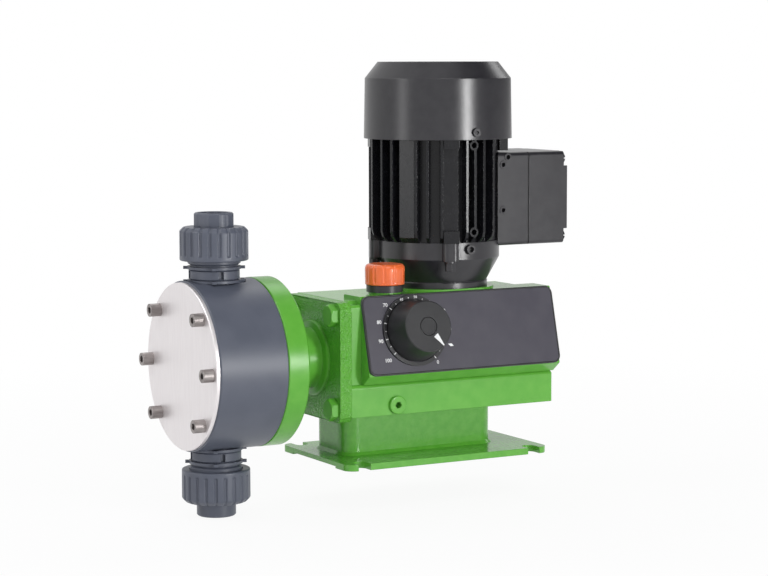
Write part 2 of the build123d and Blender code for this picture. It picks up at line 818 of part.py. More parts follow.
def push_rod():
    """Push rod with the spring collar, the cross bar and the two follower arms."""
    front = disc_front_x + diaphragm_t + 2 * gap_run + clamp_step
    shape = rod_along_x(rod_r, front, crossbar_x - crossbar_t + 1)
    shape += rod_along_x(collar_on_rod_r, rod_collar_x, rod_collar_x + collar_on_rod_t)
    arm_in = wheel_width / 2 + wheel_side_gap
    arm_out = arm_in + eccentric_w
    half = arm_high / 2
    shape += block(crossbar_x - crossbar_t, crossbar_x, -arm_out, arm_out, head_z - half, head_z + half)
    stop_high = knob_height_at(-arm_out) - head_z + stop_r + 2
    shape += block(crossbar_x - crossbar_t, crossbar_x, -arm_out, -arm_out + stop_len,
                   head_z, head_z + stop_high)
    for side in (-1, 1):
        y0, y1 = sorted((side * arm_in, side * arm_out))
        shape += block(crossbar_x - 1, follower_x, y0, y1, head_z - half, head_z + half)
    return shape


def knob_height_at(y):
    """Height of the spindle axis where it passes a given Y."""
    centre = knob_place.position
    return centre.Z - (y - centre.Y) * math.tan(lean)


def return_spring():
    """Helical spring between the lantern web and the collar on the rod."""
    x0 = bush_front_x + bush_room + spring_wire_r + spring_gap
    x1 = rod_collar_x - spring_wire_r - spring_gap
    length = x1 - x0
    path = Helix(length / spring_turns, length, spring_r)
    wire = Plane(origin=path @ 0, z_dir=path % 0) * Circle(spring_wire_r)
    coil = sweep(wire, path=path, is_frenet=True)
    return Pos(x0, 0, head_z) * Rot(0, 90, 0) * coil


def guide_bushes():
    """Front bush in the lantern web and rear bush in the housing wall."""
    shape = Part()
    for x0 in (bush_front_x, housing_front_x + spigot_len + gap_hole + 0.1):
        shape += rod_along_x(bush_r, x0, x0 + bush_len)
        shape -= rod_along_x(rod_r + gap_run, x0 - 1, x0 + bush_room)
    return shape


def valve_body(side):
    """Threaded valve neck with notched lug rings; side is 1 for discharge and -1 for suction."""
    seat = head_r - port_flat
    inner = head_r - port_depth
    low = seat + lug_ring_t
    high = low + lug_ring_gap
    outline = [
        (0, inner), (port_r, inner), (port_r, seat), (lug_ring_r, seat), (lug_ring_r, low),
        (band_r - neck_groove, low), (band_r, low + neck_groove), (band_r, high - neck_groove),
        (band_r - neck_groove, high), (lug_ring_r, high), (lug_ring_r, high + lug_ring_t),
        (band_r - neck_groove, high + lug_ring_t), (band_r - neck_groove, high + lug_ring_t + neck_groove),
        (thread_r, high + lug_ring_t + 2 * neck_groove), (thread_r, valve_top), (0, valve_top),
    ]
    body = turned_z(outline, 0, 0)
    for i in range(lug_count):
        turn = side * (lug_deg + i * 360 / lug_count)
        for level in (seat, high):
            lug = block(lug_ring_r - 2, lug_tip_r, -lug_w / 2, lug_w / 2, level, level + lug_ring_t)
            body += around(lug, turn, 0, 0)
        half = notch_w / 2
        notch = block(notch_in_r, band_r + 1, -half, half, low + neck_groove, high - neck_groove)
        body -= around(notch, side * (notch_deg + i * 360 / lug_count), 0, 0)
    body -= rod_along_z(valve_bore_r, inner - 1, valve_top + 1, 0, 0)
    body -= turned_z(ring_groove(), 0, 0)
    return placed_valve(body, side)


def ring_groove():
    """Section of the seal groove in the top of the valve neck."""
    depth = 2 * seal_wire_r
    mid = (valve_bore_r + thread_r) / 2
    half = seal_wire_r + 0.1
    return [(mid - half, valve_top - depth), (mid + half, valve_top - depth), (mid + half, valve_top + 1),
            (mid - half, valve_top + 1)]


def placed_valve(shape, side):
    """Move a part drawn along +Z from the head axis to the discharge or the suction side."""
    if side < 0:
        shape = Rot(180, 0, 0) * shape
    return Pos(valve_x, 0, head_z) * shape


def union_nut(side):
    """Ribbed union nut with chamfered rims."""
    z0 = head_r + nut_start
    z1 = z0 + nut_len
    rim = nut_rim / 4
    outline = [(0, z0), (nut_r - rim, z0), (nut_r, z0 + rim), (nut_r, z1 - nut_chamfer),
               (nut_r - nut_chamfer, z1), (0, z1)]
    nut = turned_z(outline, 0, 0)
    first = discharge_nut_deg if side > 0 else suction_nut_deg
    half = nut_groove_w / 2
    for i in range(nut_ribs):
        groove = block(nut_r - nut_groove, nut_r + 2, -half, half, z0 + nut_rim, z1 + 1)
        nut -= around(groove, first + i * 360 / nut_ribs, 0, 0)
    nut -= rod_along_z(thread_r + gap_move, z0 - 1, z1 - nut_top_t, 0, 0)
    nut -= rod_along_z(insert_r + gap_move, z0, z1 + 1, 0, 0)
    return placed_valve(nut, side)


def union_insert(side):
    """Union end with a collar under the nut and a socket for the pipe."""
    z0 = valve_top
    end = head_r + insert_end
    outline = [(valve_bore_r, z0), (insert_collar_r, z0), (insert_collar_r, z0 + insert_collar_t),
               (insert_r, z0 + insert_collar_t), (insert_r, end - 1), (insert_r - 1, end),
               (pipe_r + 0.8, end), (pipe_r, end - 0.8), (pipe_r, end - pipe_depth),
               (valve_bore_r, end - pipe_depth)]
    shape = turned_z(outline, 0, 0)
    if side > 0:
        z1 = head_r + nut_start + nut_len + stub_lift
        flats = Rot(0, 0, stub_deg) * RegularPolygon(stub_corner_r, stub_flats)
        shape += Pos(0, 0, z1) * extrude(flats, end - 1 - z1) - rod_along_z(pipe_r, z1 - 1, end, 0, 0)
    return placed_valve(shape, side)


def union_seals():
    """Seal rings between valve necks and union ends."""
    shape = Part()
    mid = (valve_bore_r + thread_r) / 2
    for side in (-1, 1):
        ring = Pos(0, 0, valve_top - seal_wire_r) * Torus(mid, seal_wire_r)
        shape += placed_valve(ring, side)
    return shape


def seat_level(side):
    """Height of the upper face of the seat above the head axis."""
    if side > 0:
        return head_r - port_depth + seat_t
    return seat_t + 1 - valve_top


def valve_seats():
    """Seat rings pressed into the bores of the valve necks."""
    shape = Part()
    for side in (-1, 1):
        top = head_z + seat_level(side)
        ring = rod_along_z(valve_bore_r, top - seat_t, top, valve_x, 0)
        ring -= rod_along_z(seat_hole_r, top - seat_t - 1, top + 1, valve_x, 0)
        shape += ring
    return shape


def ball_centre_z(side):
    """Height of the ball's centre on its seat."""
    rest = math.sqrt(ball_r ** 2 - seat_hole_r ** 2)
    return head_z + seat_level(side) + rest + gap_run


def valve_ball(side):
    """Valve ball on its seat."""
    return Pos(valve_x, 0, ball_centre_z(side)) * Sphere(ball_r)


def ball_stops():
    """Rings with a cross bar that limit the lift of the balls."""
    shape = Part()
    for side in (-1, 1):
        z0 = ball_centre_z(side) + ball_r + ball_lift + gap_move
        z1 = z0 + stop_ring_t
        reach = valve_bore_r - stop_ring_w / 2
        ring = rod_along_z(valve_bore_r, z0, z1, valve_x, 0)
        ring -= rod_along_z(valve_bore_r - stop_ring_w, z0 - 1, z1 + 1, valve_x, 0)
        ring += block(valve_x - reach, valve_x + reach, -stop_bar_w / 2, stop_bar_w / 2, z0, z1)
        shape += ring
    return shape


def worm_wheel():
    """Worm wheel with straight-flanked teeth."""
    tip = wheel_pitch_r + gear_module
    root = wheel_pitch_r - dedendum_share * gear_module
    flanks = ((root, -tooth_root_deg), (tip, -tooth_tip_deg), (tip, tooth_tip_deg), (root, tooth_root_deg))
    points = []
    for i in range(wheel_teeth):
        for radius, offset in flanks:
            turn = math.radians(i * 360 / wheel_teeth + offset)
            points.append((radius * math.cos(turn), radius * math.sin(turn)))
    disc = extrude(make_face(Polyline(*points, close=True)), wheel_width / 2, both=True)
    disc -= Cylinder(gear_shaft_r, 2 * wheel_width)
    for i in range(wheel_holes):
        hole = Pos(wheel_hole_pitch_r, 0, 0) * Cylinder(wheel_hole_r, 2 * wheel_width)
        disc -= Rot(0, 0, (i + 0.5) * 360 / wheel_holes) * hole
    return Pos(gear_x, 0, head_z) * Rot(90, 0, 0) * disc


def eccentric_shaft():
    """Gear shaft with an eccentric on each side of the wheel."""
    end = gear_bearing_y + bearing_w / 2 - 0.5
    shape = rod_along_y(gear_shaft_r, -end, end, gear_x, head_z)
    for side in (-1, 1):
        y0, y1 = sorted((side * wheel_width / 2, side * (wheel_width / 2 + wheel_side_gap + eccentric_w)))
        shape += rod_along_y(eccentric_r, y0, y1, gear_x - eccentricity, head_z)
    return shape


def ring_bearing(inner, outer, width):
    """Ball bearing drawn as one ring with a groove at each face."""
    low = inner + (outer - inner) * race_share
    high = outer - (outer - inner) * race_share
    half = width / 2
    floor = half - race_groove
    outline = [(inner, -half), (low, -half), (low, -floor), (high, -floor), (high, -half), (outer, -half),
               (outer, half), (high, half), (high, floor), (low, floor), (low, half), (inner, half)]
    return turned_z(outline, 0, 0)


def shaft_bearings():
    """Bearings of the gear shaft in the side walls."""
    shape = Part()
    for side in (-1, 1):
        ring = ring_bearing(gear_shaft_r + gap_run, bearing_r, bearing_w)
        shape += Pos(gear_x, side * gear_bearing_y, head_z) * Rot(90, 0, 0) * ring
    return shape


def worm():
    """Single-start worm of four turns, in mesh with the wheel at rest."""
    length = worm_turns * worm_lead
    base_z = head_z - length / 2
    path = Helix(worm_lead, length, worm_root_r)
    start = Plane(origin=path @ 0, x_dir=(1, 0, 0), z_dir=path % 0)
    high = worm_tip_r - worm_root_r
    flank = make_face(Polyline(
        (-worm_root_lap, -worm_root_half), (high, -worm_tip_half), (high, worm_tip_half),
        (-worm_root_lap, worm_root_half), close=True,
    ))
    thread = sweep(start * flank, path=path, is_frenet=True)
    core = rod_along_z(worm_root_r, base_z - worm_end, worm_top_z)
    shape = Pos(motor_x, 0, base_z) * thread + core
    return shape - rod_along_z(worm_shaft_r, base_z - worm_end - 1, worm_top_z + 1)


def motor_shaft():
    """Motor shaft, stepped, from the lower bearing through the worm and the rotor to the fan."""
    foot = lower_bearing_z + gap_hole
    step = motor_top_z + shaft_step_lift
    top = fan_z0 + fan_high - fan_hub_drop - 1
    return turned_z([
        (0, foot), (worm_shaft_r, foot), (worm_shaft_r, worm_top_z), (motor_shaft_r, worm_top_z),
        (motor_shaft_r, step), (fan_bore_r, step), (fan_bore_r, top), (0, top),
    ])


def lower_bearing():
    """Bearing of the worm in the housing floor."""
    ring = ring_bearing(worm_shaft_r + gap_run, bearing_r, bearing_w)
    return Pos(motor_x, 0, lower_bearing_z + bearing_w / 2) * ring


def shaft_seal():
    """Lip seal of the motor shaft in the end shield."""
    z0 = boss_top_z - shaft_seal_t
    lip = seal_lip_t
    return turned_z([(motor_shaft_r + gap_run, z0 + lip), (motor_shaft_r + lip, z0), (seal_seat_r, z0),
                     (seal_seat_r, boss_top_z), (seal_seat_r - lip, boss_top_z),
                     (seal_seat_r - lip, z0 + 1.5 * lip), (motor_shaft_r + gap_run, z0 + 1.5 * lip)])


def motor_adapter():
    """Lower end shield: spigot, ring, cone and shoulder, with two lugs for the shield bolts."""
    spigot_z = cavity_top_z + 1
    floor_z = cone_end_z + shield_floor_t
    inner = adapter_spigot_r - adapter_hub_wall
    hub_z0 = boss_top_z - shaft_seal_t
    outline = [
        (inner, spigot_z), (adapter_spigot_r, spigot_z), (adapter_spigot_r, boss_top_z),
        (ring_low_r, boss_top_z), (ring_low_r, cone_start_z - ring_bevel),
        (ring_low_r - ring_bevel, cone_start_z), (cone_end_r, cone_end_z),
        (shield_r, cone_end_z + 2 * ring_bevel), (shield_r, shield_top_z),
        (frame_in_r, shield_top_z), (frame_in_r, floor_z + frame_wall), (frame_in_r - frame_wall, floor_z),
        (inner, floor_z),
    ]
    shape = turned_z(outline)
    hub_r = motor_bearing_r + shield_hub_wall
    hub = [(0, hub_z0), (hub_r, hub_z0), (hub_r, floor_z - 1), (0, floor_z - 1)]
    shape += turned_z(hub)
    shape -= rod_along_z(seal_seat_r, hub_z0 - 1, boss_top_z)
    shape -= rod_along_z(motor_shaft_r + gap_move, hub_z0 - 1, floor_z + 1)
    low = lower_motor_bearing_z - motor_bearing_w / 2
    shape -= rod_along_z(motor_bearing_r, low, floor_z + 1)
    for angle in column_degs:
        half = column_w / 2
        lug = block(motor_x + frame_in_r, motor_x + lug_reach, -half, half, lug_z, shield_top_z)
        lug = fillet(lug.edges().filter_by(Axis.Z).group_by(Axis.X)[-1], lug_corner_r)
        shape += around(lug, angle)
        hole = rod_along_z(shield_bolt_r + gap_hole, lug_z - 1, shield_top_z + 1, motor_x + bolt_circle_r)
        spot = rod_along_z(washer_r + gap_hole, cone_start_z, lug_z, motor_x + bolt_circle_r)
        shape -= around(hole + spot, angle)
    eye_z = shield_top_z - shield_eye_drop
    front = -shield_r - shield_eye_out
    shape += rod_along_y(eye_r, front, -shield_r + eye_r, motor_x, eye_z)
    return shape - rod_along_y(eye_hole_r, front - 1, -shield_r, motor_x, eye_z)


def shield_bolts():
    """Bolts that hang under the lugs of the lower end shield."""
    shape = Part()
    x = motor_x + bolt_circle_r
    for angle in column_degs:
        bolt = rod_along_z(shield_bolt_r, lug_z, shield_top_z + column_foot_h - 1, x)
        bolt += rod_along_z(washer_r, lug_z - washer_t, lug_z, x)
        bolt += Pos(x, 0, lug_z - bolt_head_h) * hexagon(bolt_head_af, bolt_head_h)
        shape += around(bolt, angle)
    return shape


def fin_angles():
    """Directions of the fins on both sides of the X axis, leaving room for the bolt columns."""
    angles = []
    for degrees in fin_degs:
        for angle in (degrees, 360 - degrees):
            if all(abs(angle - column) > column_room_deg for column in column_degs):
                angles.append(angle)
    return angles


def motor_housing():
    """Frame tube with cooling fins, foot pads, bolt columns and the seat of the terminal box."""
    z0 = shield_top_z
    z1 = motor_top_z
    ribs = Part()
    for angle in fin_angles():
        fin = block(motor_x + frame_r - 2, motor_x + fin_r, -fin_t / 2, fin_t / 2, z0, z1)
        ribs += around(fin, angle)
    for angle in (pad_deg, 360 - pad_deg):
        pad = block(motor_x + frame_r - 2, motor_x + fin_r - pad_drop, -pad_w / 2, pad_w / 2, z0, z1)
        ribs += around(pad, angle)
    envelope = turned_z([
        (0, z0), (fin_r - fin_foot_bevel, z0), (fin_r - 0.2 * fin_foot_bevel, z0 + 0.45 * fin_foot_high),
        (fin_r + gap_move, z0 + fin_foot_high), (fin_r + gap_move, z1), (0, z1),
    ])
    shape = (ribs & envelope) + rod_along_z(frame_r, z0, z1)
    x0 = motor_x + frame_r - 2
    x1 = motor_x + lug_reach
    for angle in column_degs:
        column = block(x0, motor_x + column_core_r, -column_w / 2, column_w / 2, z0, z1)
        foot = block(x0, x1, -column_w / 2, column_w / 2, z0, z0 + column_foot_h)
        crown = block(x0, x1, -column_w / 2, column_w / 2, z1 - column_crown_h, z1)
        shape += around(column + foot + crown, angle)
        hole = rod_along_z(shield_bolt_r, z0 - 1, z0 + column_foot_h - 1, motor_x + bolt_circle_r)
        shape -= around(hole, angle)
    for z in (z0 + eye_low_lift, z1 - eye_top_drop):
        shape += rod_along_y(eye_r, -fin_r, -frame_r + 2, motor_x, z)
        shape -= rod_along_y(eye_hole_r, -fin_r - 1, -frame_r + 1, motor_x, z)
    shape += block(motor_x + box_lug_x0, motor_x + box_lug_x1, box_lug_y0, box_lug_y1, z1 - box_lug_high, z1)
    seat = rod_along_z(box_saddle_r, z0, box_z1 - saddle_top_drop)
    shape += seat & block(motor_x + box_back, motor_x + box_saddle_r, -box_half_y, box_half_y, z0, box_z1)
    shape -= rod_along_z(frame_in_r, z0 - 1, z1 + 1)
    shape -= rod_along_x(wire_hole_r, motor_x + frame_in_r - 5, motor_x + box_saddle_r + 1, 0, box_mid_z)
    return shape


def stator_core():
    """Laminated stator pack."""
    inner = rotor_r + air_gap
    return turned_z([(inner, rotor_z0), (frame_in_r, rotor_z0), (frame_in_r, rotor_z1), (inner, rotor_z1)])


def stator_windings():
    """End turns above and below the stator pack."""
    shape = Part()
    low = rotor_r + winding_in
    high = frame_in_r - winding_in
    for z, way in ((rotor_z1, 1), (rotor_z0, -1)):
        bend = z + way * (winding_high - winding_bevel)
        end = z + way * winding_high
        points = [(low, z), (high, z), (high - 1, bend), (high - 1 - winding_bevel, end),
                  (low + 1 + winding_bevel, end), (low + 1, bend)]
        shape += turned_z(points)
    return shape


def rotor_core():
    """Squirrel-cage rotor with end rings."""
    ring = rotor_r - rotor_ring_in
    low = rotor_z0 - gap_hole
    high = rotor_z1 + gap_hole
    return turned_z([
        (motor_shaft_r, rotor_z0 - rotor_ring_t), (ring, rotor_z0 - rotor_ring_t), (ring, low),
        (rotor_r, low), (rotor_r, high), (ring, high), (ring, rotor_z1 + rotor_ring_t),
        (motor_shaft_r, rotor_z1 + rotor_ring_t),
    ])


def motor_bearings():
    """Bearings of the motor shaft in the two end shields."""
    shape = Part()
    for z in (lower_motor_bearing_z, upper_motor_bearing_z):
        ring = ring_bearing(motor_shaft_r + gap_run, motor_bearing_r, motor_bearing_w)
        shape += Pos(motor_x, 0, z) * ring
    return shape


def top_shield():
    """Upper end shield with the bearing seat and four lugs that carry the cowl."""
    z1 = motor_top_z
    low = upper_motor_bearing_z - motor_bearing_w / 2
    high = low + motor_bearing_w
    bore = motor_shaft_r + gap_move + 1
    hub = motor_bearing_r + top_hub_wall
    rim = fin_r - top_shield_t
    shape = turned_z([
        (bore, z1 + top_hub_high), (bore, high), (motor_bearing_r, high), (motor_bearing_r, low), (hub, low),
        (hub + 1, z1 - top_shield_t), (frame_in_r, z1 - top_shield_t), (frame_in_r, z1), (rim, z1),
        (rim, z1 + top_shield_rim), (hub + 2, z1 + top_hub_high),
    ])
    x0 = motor_x + fin_r - cowl_lug_len
    x1 = motor_x + cowl_inner_r(cowl_screw_z) - gap_hole
    for angle in cowl_screw_degs:
        lug = block(x0, x1, -cowl_lug_w / 2, cowl_lug_w / 2, z1, z1 + cowl_lug_high)
        shape += around(lug, angle)
        shape -= around(rod_along_x(cowl_screw_r, x0, x1 + 1, 0, cowl_screw_z), angle)
    return shape


def cowl_inner_r(z):
    """Inner radius of the cowl wall at a height."""
    share = (z - motor_top_z) / (cowl_shoulder_z - motor_top_z)
    return cowl_low_r + share * (cowl_shoulder_r - cowl_low_r) - cowl_wall


def cooling_fan():
    """Radial fan: hub, thin disc and straight blades."""
    top = fan_z0 + fan_high
    hub = fan_bore_r + fan_hub_wall
    face = fan_z0 + fan_disc_t
    hub_top = top - fan_hub_drop
    shape = turned_z([
        (fan_bore_r, fan_z0), (fan_r, fan_z0), (fan_r, face), (hub + 1, face), (hub, hub_top),
        (fan_bore_r, hub_top),
    ])
    half = fan_blade_t / 2
    for i in range(fan_blades):
        blade = block(motor_x + hub - 1, motor_x + fan_r, -half, half, fan_z0 + 1, top)
        shape += around(blade, i * 360 / fan_blades)
    return shape


def fan_cowl():
    """Flared cowl with a bevelled shoulder and a grille of ring slots in its top."""
    w = cowl_wall
    shape = turned_z([
        (cowl_low_r - w, motor_top_z), (cowl_low_r, motor_top_z), (cowl_shoulder_r, cowl_shoulder_z),
        (cowl_top_r, cowl_top_z), (0, cowl_top_z), (0, cowl_top_z - w),
        (cowl_top_r - 0.6 * w, cowl_top_z - w),
        (cowl_shoulder_r - w, cowl_shoulder_z - 0.5 * w),
    ])
    spokes = Part()
    for i in range(4):
        half = grille_spoke_w / 2
        spoke = block(motor_x, motor_x + cowl_top_r, -half, half, cowl_top_z - 2 * w, cowl_top_z + 1)
        spokes += around(spoke, 45 + 90 * i)
    for i in range(grille_rings):
        inner = grille_first_r + i * grille_pitch
        ring = rod_along_z(inner + grille_slot, cowl_top_z - 2 * w, cowl_top_z + 1)
        ring -= rod_along_z(inner, cowl_top_z - 3 * w, cowl_top_z + 2)
        shape -= ring - spokes
    for angle in cowl_screw_degs:
        hole = rod_along_x(cowl_screw_r, motor_x + fin_r - 2, motor_x + cowl_low_r + 4, 0, cowl_screw_z)
        shape -= around(hole, angle)
    return shape


def cowl_screws():
    """Screws that hold the cowl to the lugs of the upper end shield."""
    shape = Part()
    seat = motor_x + cowl_low_r
    for angle in cowl_screw_degs:
        screw = rod_along_x(cowl_screw_r, seat - cowl_lug_len, seat + 1, 0, cowl_screw_z)
        screw += rod_along_x(cowl_screw_head_r, seat, seat + cowl_screw_head, 0, cowl_screw_z)
        screw -= Pos(seat + 1, 0, cowl_screw_z) * Rot(0, 90, 0) * hexagon(cowl_screw_hex, cowl_screw_head)
        shape += around(screw, angle)
    return shape


def terminal_box():
    """Lower half of the terminal box with its saddle on the motor frame."""
    x1 = box_seam_x
    body = block(motor_x + box_back, x1, -box_half_y, box_half_y, box_z0, box_z1)
    body = fillet(body.edges().filter_by(Axis.X), box_fillet)
    body -= rod_along_z(box_saddle_r, box_z0 - 1, box_z1 + 1)
    room = block(motor_x + box_back + box_wall, x1 + 1, -box_half_y + box_wall, box_half_y - box_wall,
                 box_z0 + box_wall, box_z1 - box_wall)
    room -= rod_along_z(box_saddle_r + saddle_wall, box_z0, box_z1)
    for y, z in lid_screw_places():
        room -= rod_along_x(column_r, motor_x + box_back, x1 + 2, y, z)
    body -= room
    for y, z in lid_screw_places():
        body -= rod_along_x(lid_screw_r, x1 - lid_screw_grip - 2, x1 + 1, y, z)
    body -= rod_along_x(wire_hole_r, motor_x + box_back, x1, 0, box_mid_z)
    body -= rod_along_y(entry_r, box_half_y - box_wall - 1, box_half_y + 1, x1 - entry_in, entry_z)
    side_y = -box_half_y
    for x, lift in plug_places:
        x += box_saddle_r - plug_datum_r
        body += rod_along_y(plug_boss_r, side_y - plug_boss_out, side_y + 1, motor_x + x, box_z0 + lift)
    for x, lift in plug_places:
        x += box_saddle_r - plug_datum_r
        body -= rod_along_y(plug_hole_r, side_y - 2, side_y + plug_hole_depth, motor_x + x, box_z0 + lift)
    return body


def lid_screw_places():
    """Centres of the four lid screws in Y and Z."""
    half_y = box_half_y - lid_screw_in
    half_z = (box_z1 - box_z0) / 2 - lid_screw_in
    return [(sy * half_y, box_mid_z + sz * half_z) for sy in (-1, 1) for sz in (-1, 1)]


def terminal_board():
    """Board with six studs."""
    x0 = motor_x + box_saddle_r + saddle_wall
    x1 = x0 + board_t
    board = block(x0, x1, -board_w / 2, board_w / 2, box_mid_z - board_high / 2, box_mid_z + board_high / 2)
    board -= rod_along_x(wire_hole_r, x0 - 1, x1 + 1, 0, box_mid_z)
    for y in (-stud_y, stud_y):
        for z in (box_mid_z - stud_z, box_mid_z, box_mid_z + stud_z):
            board += rod_along_x(stud_r, x1 - 1, x1 + stud_len, y, z)
    return board


def lid_gasket():
    """Gasket in the seam of the terminal box."""
    x0 = box_seam_x
    half = box_half_y - gasket_in
    outer = block(x0, x0 + gasket_t, -half, half, box_z0 + gasket_in, box_z1 - gasket_in)
    outer = fillet(outer.edges().filter_by(Axis.X), box_fillet)
    room = box_half_y - box_wall
    inner = block(x0 - 1, x0 + 2, -room, room, box_z0 + box_wall, box_z1 - box_wall)
    for y, z in lid_screw_places():
        inner -= rod_along_x(column_r, x0 - 2, x0 + 3, y, z)
    outer -= inner
    for y, z in lid_screw_places():
        outer -= rod_along_x(lid_screw_r, x0 - 1, x0 + 2, y, z)
    return outer


def terminal_lid():
    """Deep lid with four sunk screw corners."""
    x0 = box_seam_x + gasket_t
    x1 = lid_front_x
    lid = block(x0, x1, -box_half_y, box_half_y, box_z0, box_z1)
    lid = fillet(lid.edges().filter_by(Axis.X), box_fillet)
    lid = fillet(lid.faces().sort_by(Axis.X)[-1].edges(), lid_edge_r)
    room = block(x0 - 1, x1 - box_wall, -box_half_y + box_wall, box_half_y - box_wall,
                 box_z0 + box_wall, box_z1 - box_wall)
    for y, z in lid_screw_places():
        corner_y = y + math.copysign(corner_shift, y)
        corner_z = z + math.copysign(corner_shift, z - box_mid_z)
        lid -= rod_along_x(corner_r, x1 - lid_step, x1 + 1, corner_y, corner_z)
        room -= rod_along_x(column_r, x0 - 2, x1, y, z)
        room -= rod_along_x(corner_r + box_wall, x1 - lid_step - box_wall, x1, corner_y, corner_z)
    lid -= room
    for y, z in lid_screw_places():
        lid -= rod_along_x(lid_screw_r + gap_move, x0 - 1, x1, y, z)
    return lid


def lid_screws():
    """Screws in the corners of the terminal lid."""
    shape = Part()
    seat = lid_front_x - lid_step
    for y, z in lid_screw_places():
        half = lid_screw_slot / 2
        head = lid_screw_head
        screw = rod_along_x(lid_screw_r, box_seam_x - lid_screw_grip, seat, y, z)
        screw += rod_along_x(lid_screw_head_r, seat, seat + head, y, z)
        screw -= block(seat + head / 2, seat + head + 1, y - head * 2, y + head * 2, z - half, z + half)
        shape += screw
    return shape


def cable_entry_plug():
    """Blanking plug of the cable entry."""
    x = box_seam_x - entry_in
    plug = rod_along_y(entry_r, box_half_y - box_wall - 1, box_half_y, x, entry_z)
    plug += Pos(x, box_half_y + entry_hex_t, entry_z) * Rot(90, 0, 0) * hexagon(entry_hex, entry_hex_t)
    return plug


def write(name, shape):
    """Write one sub-part."""
    export_step(shape, f"parts/{name}.step")


makers = {
    "base_frame": base_frame,
    "foot_screws": foot_screws,
    "gear_housing": gear_housing,
    "drain_plug": drain_plug,
    "vent_collar": vent_collar,
    "vent_cap": vent_cap,
    "operating_panel": operating_panel,
    "scale_ring": scale_ring,
    "adjusting_knob": adjusting_knob,
    "knob_cap": knob_cap,
    "knob_pointer": knob_pointer,
    "adjusting_spindle": adjusting_spindle,
    "lantern": lantern,
    "flange_bolts": flange_bolts,
    "cover_plate": cover_plate,
    "head_screws": head_screws,
    "dosing_head": dosing_head,
    "diaphragm": diaphragm,
    "diaphragm_clamp": diaphragm_clamp,
    "push_rod": push_rod,
    "return_spring": return_spring,
    "guide_bushes": guide_bushes,
    "union_seals": union_seals,
    "valve_seats": valve_seats,
    "ball_stops": ball_stops,
    "worm_wheel": worm_wheel,
    "eccentric_shaft": eccentric_shaft,
    "shaft_bearings": shaft_bearings,
    "worm": worm,
    "motor_shaft": motor_shaft,
    "lower_bearing": lower_bearing,
    "shaft_seal": shaft_seal,
    "motor_adapter": motor_adapter,
    "shield_bolts": shield_bolts,
    "motor_housing": motor_housing,
    "stator_core": stator_core,
    "stator_windings": stator_windings,
    "rotor_core": rotor_core,
    "motor_bearings": motor_bearings,
    "top_shield": top_shield,
    "cooling_fan": cooling_fan,
    "fan_cowl": fan_cowl,
    "cowl_screws": cowl_screws,
    "terminal_box": terminal_box,
    "terminal_board": terminal_board,
    "lid_gasket": lid_gasket,
    "terminal_lid": terminal_lid,
    "lid_screws": lid_screws,
    "cable_entry_plug": cable_entry_plug,
}

os.makedirs("parts", exist_ok=True)
for name, maker in makers.items():
    write(name, maker())
for name, side in (("suction", -1), ("discharge", 1)):
    write(f"{name}_valve_body", valve_body(side))
    write(f"{name}_nut", union_nut(side))
    write(f"{name}_insert", union_insert(side))
    write(f"{name}_ball", valve_ball(side))
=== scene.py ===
# %% [markdown]
# # A diaphragm metering pump, dressed for a studio picture
#
# The pump's solids come from the CAD model: they are already in the right place and have the right size.
# This lesson gives them their finishes, adds the marks and moulded details that are too fine for the CAD
# model, and sets up a floor, a sky, a camera and soft lights. Every length is in metres.

import json
import math

import bpy
import numpy as np
from mathutils import Matrix, Vector

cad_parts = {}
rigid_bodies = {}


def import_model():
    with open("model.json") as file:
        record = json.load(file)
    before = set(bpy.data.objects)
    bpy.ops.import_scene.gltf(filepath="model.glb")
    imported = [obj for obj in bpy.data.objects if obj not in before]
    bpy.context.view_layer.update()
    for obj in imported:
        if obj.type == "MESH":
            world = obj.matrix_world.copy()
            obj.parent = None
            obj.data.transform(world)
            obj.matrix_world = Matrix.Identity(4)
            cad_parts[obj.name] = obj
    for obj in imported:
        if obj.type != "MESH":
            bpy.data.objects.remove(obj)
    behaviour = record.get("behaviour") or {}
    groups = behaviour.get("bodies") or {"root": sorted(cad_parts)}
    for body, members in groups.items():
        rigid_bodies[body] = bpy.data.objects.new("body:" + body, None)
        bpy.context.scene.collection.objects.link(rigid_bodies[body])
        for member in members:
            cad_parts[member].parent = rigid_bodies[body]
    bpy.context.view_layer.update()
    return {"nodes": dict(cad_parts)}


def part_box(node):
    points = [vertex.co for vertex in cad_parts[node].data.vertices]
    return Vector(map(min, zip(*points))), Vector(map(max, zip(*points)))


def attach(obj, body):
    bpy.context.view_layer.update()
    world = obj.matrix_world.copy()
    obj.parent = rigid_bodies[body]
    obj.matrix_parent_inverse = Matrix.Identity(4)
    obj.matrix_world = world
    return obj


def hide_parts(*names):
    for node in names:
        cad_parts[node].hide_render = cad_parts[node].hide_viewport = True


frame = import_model()

# %% [markdown]
# ## Nodes in one line
#
# A material is a small network of nodes, and so are the floor's paint and the sky. Each node takes three
# steps to make by hand: create it, choose its operation, fill in its inputs. A helper does all three, so
# that the cells below read as a list of what the network holds.

# %% A helper for nodes


def add_node(tree, kind, operation=None, **inputs):
    """New node in a tree. An input is given by its name, with _ for each space, as in To_Min=1.0."""
    node = tree.nodes.new(kind)
    if operation:
        node.operation = operation
    for name, value in inputs.items():
        node.inputs[name.replace("_", " ")].default_value = value
    return node


print("node helper ready")

# %% [markdown]
# ## Finishes
#
# A finish is a Principled shader with a pattern worked out from the object's own coordinates. Real surfaces
# are never one flat colour: paint pools, plastic has a fine grain, rolled steel shows lines. Each finish
# here mixes two close tones with noise, varies the gloss a little and tilts the surface with a fine bump.
# Object coordinates are used, because they stay with the piece when it moves. A Bevel node rounds the sharp
# edges of the solids when light meets them, which is cheaper than cutting a tiny fillet on every edge.

# %% A helper for finishes
coat_rough = 0.08
tone_detail, grain_detail = 4.0, 3.0
tone_spread = (0.35, 0.65)
least_rough = 0.02
bevel_samples = 4


